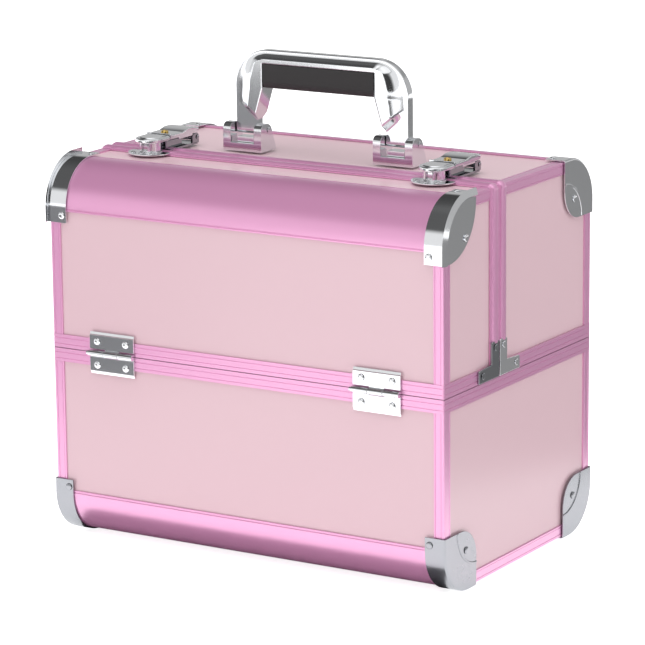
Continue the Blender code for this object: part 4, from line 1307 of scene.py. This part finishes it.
# ---------------------------------------------------------------- latches
class TRAINCASE_OT_latches(bpy.types.Operator):
    """Model both latches: catch, base, lever and lock cylinder"""

    bl_idname = "train_case.latches"
    bl_label = "Latches"

    def half_round(self, name, x, y, radius, rear, low, high):
        """A plate with a half-round front and straight sides."""
        plate = block(name, (x - radius, y, low), (x + radius, rear, high))
        line = [(x + radius, y, low), (x + radius, y, high)]
        nose = start_line(name + "_front", line)
        bpy.ops.mesh.select_all(action="SELECT")
        turn((x, y, low), Z, -180.0, 28)
        bpy.ops.object.mode_set(mode="OBJECT")
        with editing(plate):
            pick(plate, "faces", lambda part: part.normal.y < -0.9)
            bpy.ops.mesh.delete(type="FACE")
        plate = merge([plate, nose], name)
        with editing(plate):
            bpy.ops.mesh.remove_doubles(threshold=WELD)
            for z in (low, high):
                select_parts(
                    plate,
                    "edges",
                    lambda part, z=z: part.is_boundary and abs(middle(part).z - z) < 1e-6,
                )
                bpy.ops.mesh.edge_face_add()
            bpy.ops.mesh.select_all(action="SELECT")
            bpy.ops.mesh.dissolve_limited(angle_limit=math.radians(0.5))
            tidy_mesh()
        return plate

    def catch(self, word, x):
        low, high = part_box(f"latch_catch_{word}")
        rear = high.y
        drum_y = rear - 0.0230 + 0.0118
        cover_low = high.z - 0.0040
        fan = self.half_round(f"catch_{word}", x, drum_y + 0.0010, 0.0185, rear, low.z, low.z + 0.0012)
        with editing(fan):
            pick(fan, "verts", lambda part: part.co.y > rear - 1e-5)
            bpy.ops.transform.resize(value=(0.55, 1, 1), center_override=(x, rear, 0))
        soften(fan, 0.0004, 2, 50.0)
        pieces = [fan]
        drum = turned(
            "drum",
            (
                (x, drum_y, low.z + 0.0008),
                (x + 0.0098, drum_y, low.z + 0.0008),
                (x + 0.0098, drum_y, low.z + 0.0018),
                (x + 0.0088, drum_y, low.z + 0.0022),
                (x + 0.0088, drum_y, cover_low - 0.0006),
                (x + 0.0094, drum_y, cover_low - 0.0004),
                (x + 0.0094, drum_y, cover_low + 0.0004),
                (x, drum_y, cover_low + 0.0004),
            ),
            (x, drum_y, 0.0),
            Z,
            40,
        )
        window = block(
            "window",
            (x - 0.0030, drum_y - 0.012, low.z + 0.0030),
            (x + 0.0030, drum_y - 0.0062, cover_low - 0.0012),
        )
        combine(drum, window, "DIFFERENCE")
        soften(drum, 0.0002, 1, 50.0)
        pieces.append(drum)
        nose = self.half_round(f"nose_{word}", x, drum_y, 0.0118, rear, cover_low, high.z - 0.0008)
        with editing(nose):
            round_edges(
                nose,
                lambda part: middle(part).z > high.z - 0.0009 and middle(part).y < rear - 1e-5
                and part.calc_face_angle() > 1.0,
                0.0013,
                4,
            )
            pick(nose, "faces", lambda part: part.normal.z > 0.999)
            bpy.ops.mesh.inset(thickness=0.0012)
            bpy.ops.mesh.inset(thickness=0.0008, depth=0.0007)
        soften(nose, 0.0003, 2, 55.0)
        pieces.append(nose)
        for degrees in (-128, -90, -52):
            spot = math.radians(degrees)
            foot = (x + 0.0149 * math.cos(spot), drum_y + 0.0010 + 0.0149 * math.sin(spot), low.z + 0.0012)
            screw = dome("screw", foot, (0, 0, 1), 0.0026, 0.0011)
            for across, along in ((0.0019, 0.00030), (0.00030, 0.0019)):
                slot = block(
                    "slot",
                    (foot[0] - across, foot[1] - along, foot[2] + 0.0006),
                    (foot[0] + across, foot[1] + along, foot[2] + 0.0030),
                )
                combine(screw, slot, "DIFFERENCE")
            pieces.append(screw)
        return merge(pieces, f"catch_{word}")

    def base(self, word, x):
        low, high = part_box(f"latch_base_{word}")
        lever_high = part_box(f"latch_lever_{word}")[1]
        half = (high.x - low.x) / 2
        plate_high = (x + half, high.y, low.z + 0.0019)
        plate = block(f"latch_base_plate_{word}", (x - half, low.y, low.z), plate_high)
        with editing(plate):
            round_edges(
                plate,
                lambda part: runs_along(part, Z) and middle(part).y > high.y - 1e-5,
                0.0040,
                6,
            )
            pick(plate, "faces", lambda part: part.normal.z > 0.99)
            bpy.ops.mesh.inset(thickness=0.0020)
            bpy.ops.transform.translate(value=(0, 0, -0.0009))
        soften(plate, 0.0003, 2, 50.0)
        cover = lever_high.z - 0.0050
        housing_high = (x + 0.0068, -0.0120, cover - 0.0013)
        housing = block("housing", (x - 0.0068, low.y, low.z + 0.001), housing_high)
        soften(housing, 0.0009, 3, 50.0)
        pieces = [plate, housing]
        ear = high.z
        for way in (-1, 1):
            inner = x + way * (half - 0.0020)
            outer = x + way * half
            jaw = block(
                "jaw", (min(inner, outer), -0.0030, low.z + 0.001), (max(inner, outer), high.y - 0.0011, ear)
            )
            with editing(jaw):
                round_edges(jaw, lambda part: runs_along(part, X) and middle(part).z > ear - 1e-5, 0.0028, 6)
            soften(jaw, 0.0003, 2, 50.0)
            pieces.append(jaw)
            boss = (outer, 0.0040, (low.z + ear) / 2 + 0.0012)
            pieces.append(dome("boss", boss, (way, 0, 0), 0.0019, 0.0007))
        return merge(pieces, f"latch_base_plate_{word}")

    def lever(self, word, x):
        low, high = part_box(f"latch_lever_{word}")
        front = low.y
        rear = high.y
        half = (high.x - low.x) / 2
        under = high.z - 0.0050
        cover = block(f"lever_{word}", (x - half, front, under), (x + half, rear, high.z))
        lock_front = -0.0335
        lock_rear = -0.0180
        with editing(cover):
            slice_at(
                Y,
                (lock_front, lock_front + 0.0008, lock_rear - 0.0008, lock_rear, -0.0100, -0.0020),
            )
            round_edges(
                cover,
                lambda part: runs_along(part, Z) and middle(part).y > rear - 1e-5,
                0.0045,
                6,
            )
            for place, drop in ((lock_front, 0.0013), (lock_rear, 0.0012)):
                near = place + (0.0004 if place == lock_front else -0.0004)
                pick(
                    cover,
                    "verts",
                    lambda part, near=near: part.co.z > high.z - 1e-6 and abs(part.co.y - near) < 0.00045,
                )
                bpy.ops.transform.translate(value=(0, 0, -drop))
            for place, rise in ((-0.0100, 0.0007), (-0.0020, 0.0005)):
                pick(
                    cover,
                    "verts",
                    lambda part, place=place: part.co.z > high.z - 1e-6 and abs(part.co.y - place) < 1e-5,
                )
                bpy.ops.transform.translate(value=(0, 0, rise))
            pick(cover, "verts", lambda part: part.co.z > high.z - 1e-6 and part.co.y > 0.0020)
            bpy.ops.transform.translate(value=(0, 0, -0.0010))
        soften(cover, 0.0008, 3, 40.0)
        combine(cover, rod((x, -0.0270, high.z), 0.0032, 0.02, 36), "DIFFERENCE")
        pieces = [cover]
        for way in (-1, 1):
            rail = block(
                "rail",
                (min(x + way * half, x + way * (half - 0.0014)), front + 0.0120, under - 0.0012),
                (max(x + way * half, x + way * (half - 0.0014)), -0.0040, under + 0.0012),
            )
            soften(rail, 0.0004, 2, 50.0)
            pieces.append(rail)
        knuckle_half = half - 0.0031
        pivot = Vector((x, 0.0040, low.z + 0.0032))
        knuckle = rod(pivot, 0.0031, 2 * knuckle_half, 28, along_x=True)
        soften(knuckle, 0.0003, 2, 60.0)
        neck = block(
            "neck",
            (x - knuckle_half, pivot.y - 0.0028, pivot.z),
            (x + knuckle_half, pivot.y + 0.0028, under + 0.001),
        )
        pieces += [knuckle, neck]
        return merge(pieces, f"lever_{word}")

    def cylinder(self, word, x):
        low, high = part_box(f"key_cylinder_{word}")
        y = (low.y + high.y) / 2
        radius = (high.x - low.x) / 2
        barrel = turned(
            f"lock_cylinder_{word}",
            (
                (x, y, low.z),
                (x + radius, y, low.z),
                (x + radius, y, high.z - 0.0004),
                (x + radius - 0.0004, y, high.z),
                (x + radius - 0.0009, y, high.z),
                (x + radius - 0.0011, y, high.z - 0.0003),
                (x, y, high.z - 0.0003),
            ),
            (x, y, 0.0),
            Z,
            36,
        )
        slot_low = (x - 0.00045, y - 0.0017, high.z - 0.0020)
        slot = block("slot", slot_low, (x + 0.00045, y + 0.0017, high.z + 0.001))
        combine(barrel, slot, "DIFFERENCE")
        return barrel

    def execute(self, context):
        for word, _ in SIDES:
            low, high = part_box(f"latch_lever_{word}")
            x = (low.x + high.x) / 2
            rows = (
                (self.catch, "front_lid", "chrome", "chrome", f"latch_catch_{word}"),
                # The latch base plates use the darker copy of the chrome.
                (self.base, "rear_lid", "smoked_chrome", "chrome", f"latch_base_{word}"),
                (self.lever, f"latch_{word}", "chrome", "chrome", f"latch_lever_{word}"),
                (self.cylinder, f"key_{word}", "brass", "brass", f"key_cylinder_{word}"),
            )
            for make, body, look, slot, node in rows:
                finish_piece(make(word, x), body, finish(look), (node,), 40.0)
        return {"FINISHED"}


# ---------------------------------------------------------------- studio
class TRAINCASE_OT_studio(bpy.types.Operator):
    """Lay the floor, set the lights and place the camera"""

    bl_idname = "train_case.studio"
    bl_label = "Studio"

    def plain(self, name, tint, roughness, glow=0.0):
        material, shader, _ = new_finish(name)
        shader.inputs["Base Color"].default_value = (*tint, 1.0)
        shader.inputs["Roughness"].default_value = roughness
        shader.inputs["Emission Color"].default_value = (1.0, 1.0, 1.0, 1.0)
        shader.inputs["Emission Strength"].default_value = glow
        return material

    def slab(self, name, low, high, material):
        slab = block(name, low, high)
        slab.data.materials.append(material)
        return slab

    def mat_piece(self, name, corners, material):
        """A thin flat mat through corners on the floor."""
        mat = start_line(name, [(x, y, 0.001) for x, y in corners])
        bpy.ops.mesh.select_all(action="SELECT")
        bpy.ops.mesh.edge_face_add()
        bpy.ops.mesh.select_all(action="SELECT")
        bpy.ops.mesh.extrude_region_move(TRANSFORM_OT_translate={"value": (0, 0, 0.002)})
        tidy_mesh()
        bpy.ops.object.mode_set(mode="OBJECT")
        mat.data.materials.append(material)
        mat.visible_camera = False
        mat.visible_diffuse = False
        mat.visible_shadow = False
        return mat

    def lamp(self, name, location, size, power, target=(0.0, 0.0, 0.15)):
        bpy.ops.object.select_all(action="DESELECT")
        bpy.ops.object.light_add(type="AREA", location=location)
        lamp = bpy.context.object
        lamp.name = name
        lamp.data.shape = "RECTANGLE"
        lamp.data.size, lamp.data.size_y = size
        lamp.data.energy = power
        lamp.visible_glossy = False
        away = Vector(target) - Vector(location)
        lamp.rotation_euler = away.to_track_quat("-Z", "Y").to_euler()
        return lamp

    def sky(self, setup):
        """A soft surround: pale all round low down, dimmer at the rear, with one dark panel."""
        world = bpy.data.worlds.new("studio_surround")
        bpy.context.scene.world = world
        world.use_nodes = True
        nodes, links = world.node_tree.nodes, world.node_tree.links
        background = nodes["Background"]
        place = nodes.new("ShaderNodeTexCoord").outputs["Generated"]
        split = nodes.new("ShaderNodeSeparateXYZ")
        links.new(place, split.inputs[0])
        ramp = nodes.new("ShaderNodeValToRGB")
        links.new(split.outputs["Z"], ramp.inputs["Fac"])
        stops = ((0.00, 1.0), (0.38, 1.0), (0.50, 0.12), (0.85, 0.12), (1.00, 0.25))
        elements = ramp.color_ramp.elements
        while len(elements) < len(stops):
            elements.new(0.5)
        for element, (position, level) in zip(elements, stops):
            element.position = position
            element.color = (level, level, level, 1.0)

        def fall(source, start, end, low, high):
            node = nodes.new("ShaderNodeMapRange")
            node.interpolation_type = "SMOOTHSTEP"
            links.new(source, node.inputs["Value"])
            for name, value in (("From Min", start), ("From Max", end), ("To Min", low), ("To Max", high)):
                node.inputs[name].default_value = value
            return node.outputs["Result"]

        rear = fall(split.outputs["Y"], -0.1, 0.6, 1.0, setup.rear_light)
        toward = nodes.new("ShaderNodeVectorMath")
        toward.operation = "DOT_PRODUCT"
        links.new(place, toward.inputs[0])
        toward.inputs[1].default_value = (0.80, -0.60, 0.0)
        dark = fall(toward.outputs["Value"], 0.78, 0.92, 1.0, 0.06)
        dimmed = math_node(nodes, "MULTIPLY")
        links.new(rear, dimmed.inputs[0])
        links.new(dark, dimmed.inputs[1])
        level = math_node(nodes, "MULTIPLY")
        links.new(dimmed.outputs[0], level.inputs[0])
        ceiling = fall(split.outputs["X"], -0.47, -0.15, 0.0, 1.0)
        high_up = fall(split.outputs["Z"], 0.40, 0.60, 0.0, 1.1)
        soft_box = math_node(nodes, "MULTIPLY_ADD")
        links.new(ceiling, soft_box.inputs[0])
        links.new(high_up, soft_box.inputs[1])
        links.new(ramp.outputs["Color"], soft_box.inputs[2])
        links.new(soft_box.outputs[0], level.inputs[1])
        links.new(level.outputs[0], background.inputs["Color"])
        background.inputs["Strength"].default_value = setup.surround

    def execute(self, context):
        setup = context.scene.train_case_studio
        context.scene.view_settings.view_transform = "Standard"
        floor = self.plain("studio_floor", setup.floor, 0.9, setup.glow)
        paths = floor.node_tree.nodes.new("ShaderNodeLightPath")
        shade = math_node(floor.node_tree.nodes, "MULTIPLY_ADD", None, -setup.glow * 0.75, setup.glow)
        floor.node_tree.links.new(paths.outputs["Is Diffuse Ray"], shade.inputs[0])
        shader = floor.node_tree.nodes["Principled BSDF"]
        floor.node_tree.links.new(shade.outputs[0], shader.inputs["Emission Strength"])
        self.slab("floor", (-12.0, -12.0, -0.02), (12.0, 12.0, 0.0), floor)
        self.mat_piece(
            "front_mat",
            ((-0.33, -0.52), (-1.20, -0.45), (-2.90, -2.15), (-1.28, -2.15), (-0.94, -1.55)),
            self.plain("studio_mat", setup.mat, 0.7, 0.08),
        )
        self.mat_piece(
            "side_mat",
            ((0.50, -0.20), (0.31, 0.20), (-0.10, 1.08), (-0.60, 2.20), (3.2, 2.6), (3.2, -0.4)),
            self.plain("studio_side_mat", setup.side_mat, 0.7, 0.07),
        )
        dark = self.plain("studio_dark_mat", setup.mat, 0.7)
        # Painted shade: a dark sheet under the case, seen only in glossy rays, that stands in for the shaded
        # floor beneath the case, which the glowing floor does not show.
        near = ((-0.17, -0.135), (0.17, -0.135), (0.17, 0.10), (-0.17, 0.10))
        self.mat_piece("near_mat", near, dark)
        right = ((0.42, -0.45), (2.6, -0.3), (2.6, -3.0), (-0.62, -2.3), (-0.55, -1.75), (0.30, -1.2))
        self.mat_piece("right_mat", right, dark)
        self.sky(setup)
        level = setup.light
        self.lamp("top_light", (-0.3, -0.5, 2.6), (2.4, 2.4), 25.0 * level)
        self.lamp("front_light", (-1.2, -2.8, 1.9), (1.8, 1.6), 4.0 * level)
        self.lamp("side_light", (2.9, 0.2, 1.6), (1.8, 1.6), 4.3 * level)
        turn_by, rise = setup.azimuth, setup.elevation
        back = Vector(
            (math.sin(turn_by) * math.cos(rise), -math.cos(turn_by) * math.cos(rise), math.sin(rise))
        )
        target = Vector((0.0001, 0.0, setup.target_height))
        bpy.ops.object.camera_add(location=target + back * setup.distance)
        camera = context.object
        camera.name = "camera"
        right = Vector((math.cos(turn_by), math.sin(turn_by), 0.0))
        up = back.cross(right)
        tilted = right * math.cos(setup.roll) + up * math.sin(setup.roll)
        upright = up * math.cos(setup.roll) - right * math.sin(setup.roll)
        matrix = camera.matrix_world.copy()
        for row in range(3):
            matrix[row][0], matrix[row][1], matrix[row][2] = tilted[row], upright[row], back[row]
        camera.matrix_world = matrix
        camera.data.sensor_width = 36.0
        camera.data.lens = setup.lens
        camera.data.dof.use_dof = False
        context.scene.camera = camera
        return {"FINISHED"}


# ---------------------------------------------------------------- add-on
class TRAINCASE_PT_panel(bpy.types.Panel):
    """The case's operators and sizes in the sidebar"""

    bl_label = "Train Case"
    bl_idname = "TRAINCASE_PT_panel"
    bl_space_type = "VIEW_3D"
    bl_region_type = "UI"
    bl_category = "Train Case"

    def draw(self, context):
        for operator in OPERATORS:
            self.layout.operator(operator.bl_idname)
        for group in GROUPS:
            column = self.layout.column(align=True)
            for name in GROUPS[group].__annotations__:
                column.prop(getattr(context.scene, group), name)


GROUPS = {
    "train_case_shapes": CaseShapes,
    "train_case_finishes": CaseFinishes,
    "train_case_studio": StudioSetup,
}
OPERATORS = (
    TRAINCASE_OT_finishes,
    TRAINCASE_OT_edge_bands,
    TRAINCASE_OT_rims,
    TRAINCASE_OT_split_beads,
    TRAINCASE_OT_rolls,
    TRAINCASE_OT_corner_caps,
    TRAINCASE_OT_joiners,
    TRAINCASE_OT_hinges,
    TRAINCASE_OT_handle,
    TRAINCASE_OT_latches,
    TRAINCASE_OT_studio,
)


def register():
    for group in GROUPS:
        bpy.utils.register_class(GROUPS[group])
        setattr(bpy.types.Scene, group, bpy.props.PointerProperty(type=GROUPS[group]))
    for operator in OPERATORS:
        bpy.utils.register_class(operator)
    bpy.utils.register_class(TRAINCASE_PT_panel)


def unregister():
    bpy.utils.unregister_class(TRAINCASE_PT_panel)
    for operator in reversed(OPERATORS):
        bpy.utils.unregister_class(operator)
    for group in GROUPS:
        delattr(bpy.types.Scene, group)
        bpy.utils.unregister_class(GROUPS[group])


def main():
    for obj in list(bpy.data.objects):
        if obj.name in ("Cube", "Light", "Camera"):
            bpy.data.objects.remove(obj, do_unlink=True)
    register()
    bpy.ops.train_case.finishes()
    bpy.ops.train_case.edge_bands()
    bpy.ops.train_case.rims()
    bpy.ops.train_case.split_beads()
    bpy.ops.train_case.rolls()
    bpy.ops.train_case.corner_caps()
    bpy.ops.train_case.joiners()
    bpy.ops.train_case.hinges()
    bpy.ops.train_case.handle()
    bpy.ops.train_case.latches()
    bpy.ops.train_case.studio()


if __name__ == "__main__":
    main()
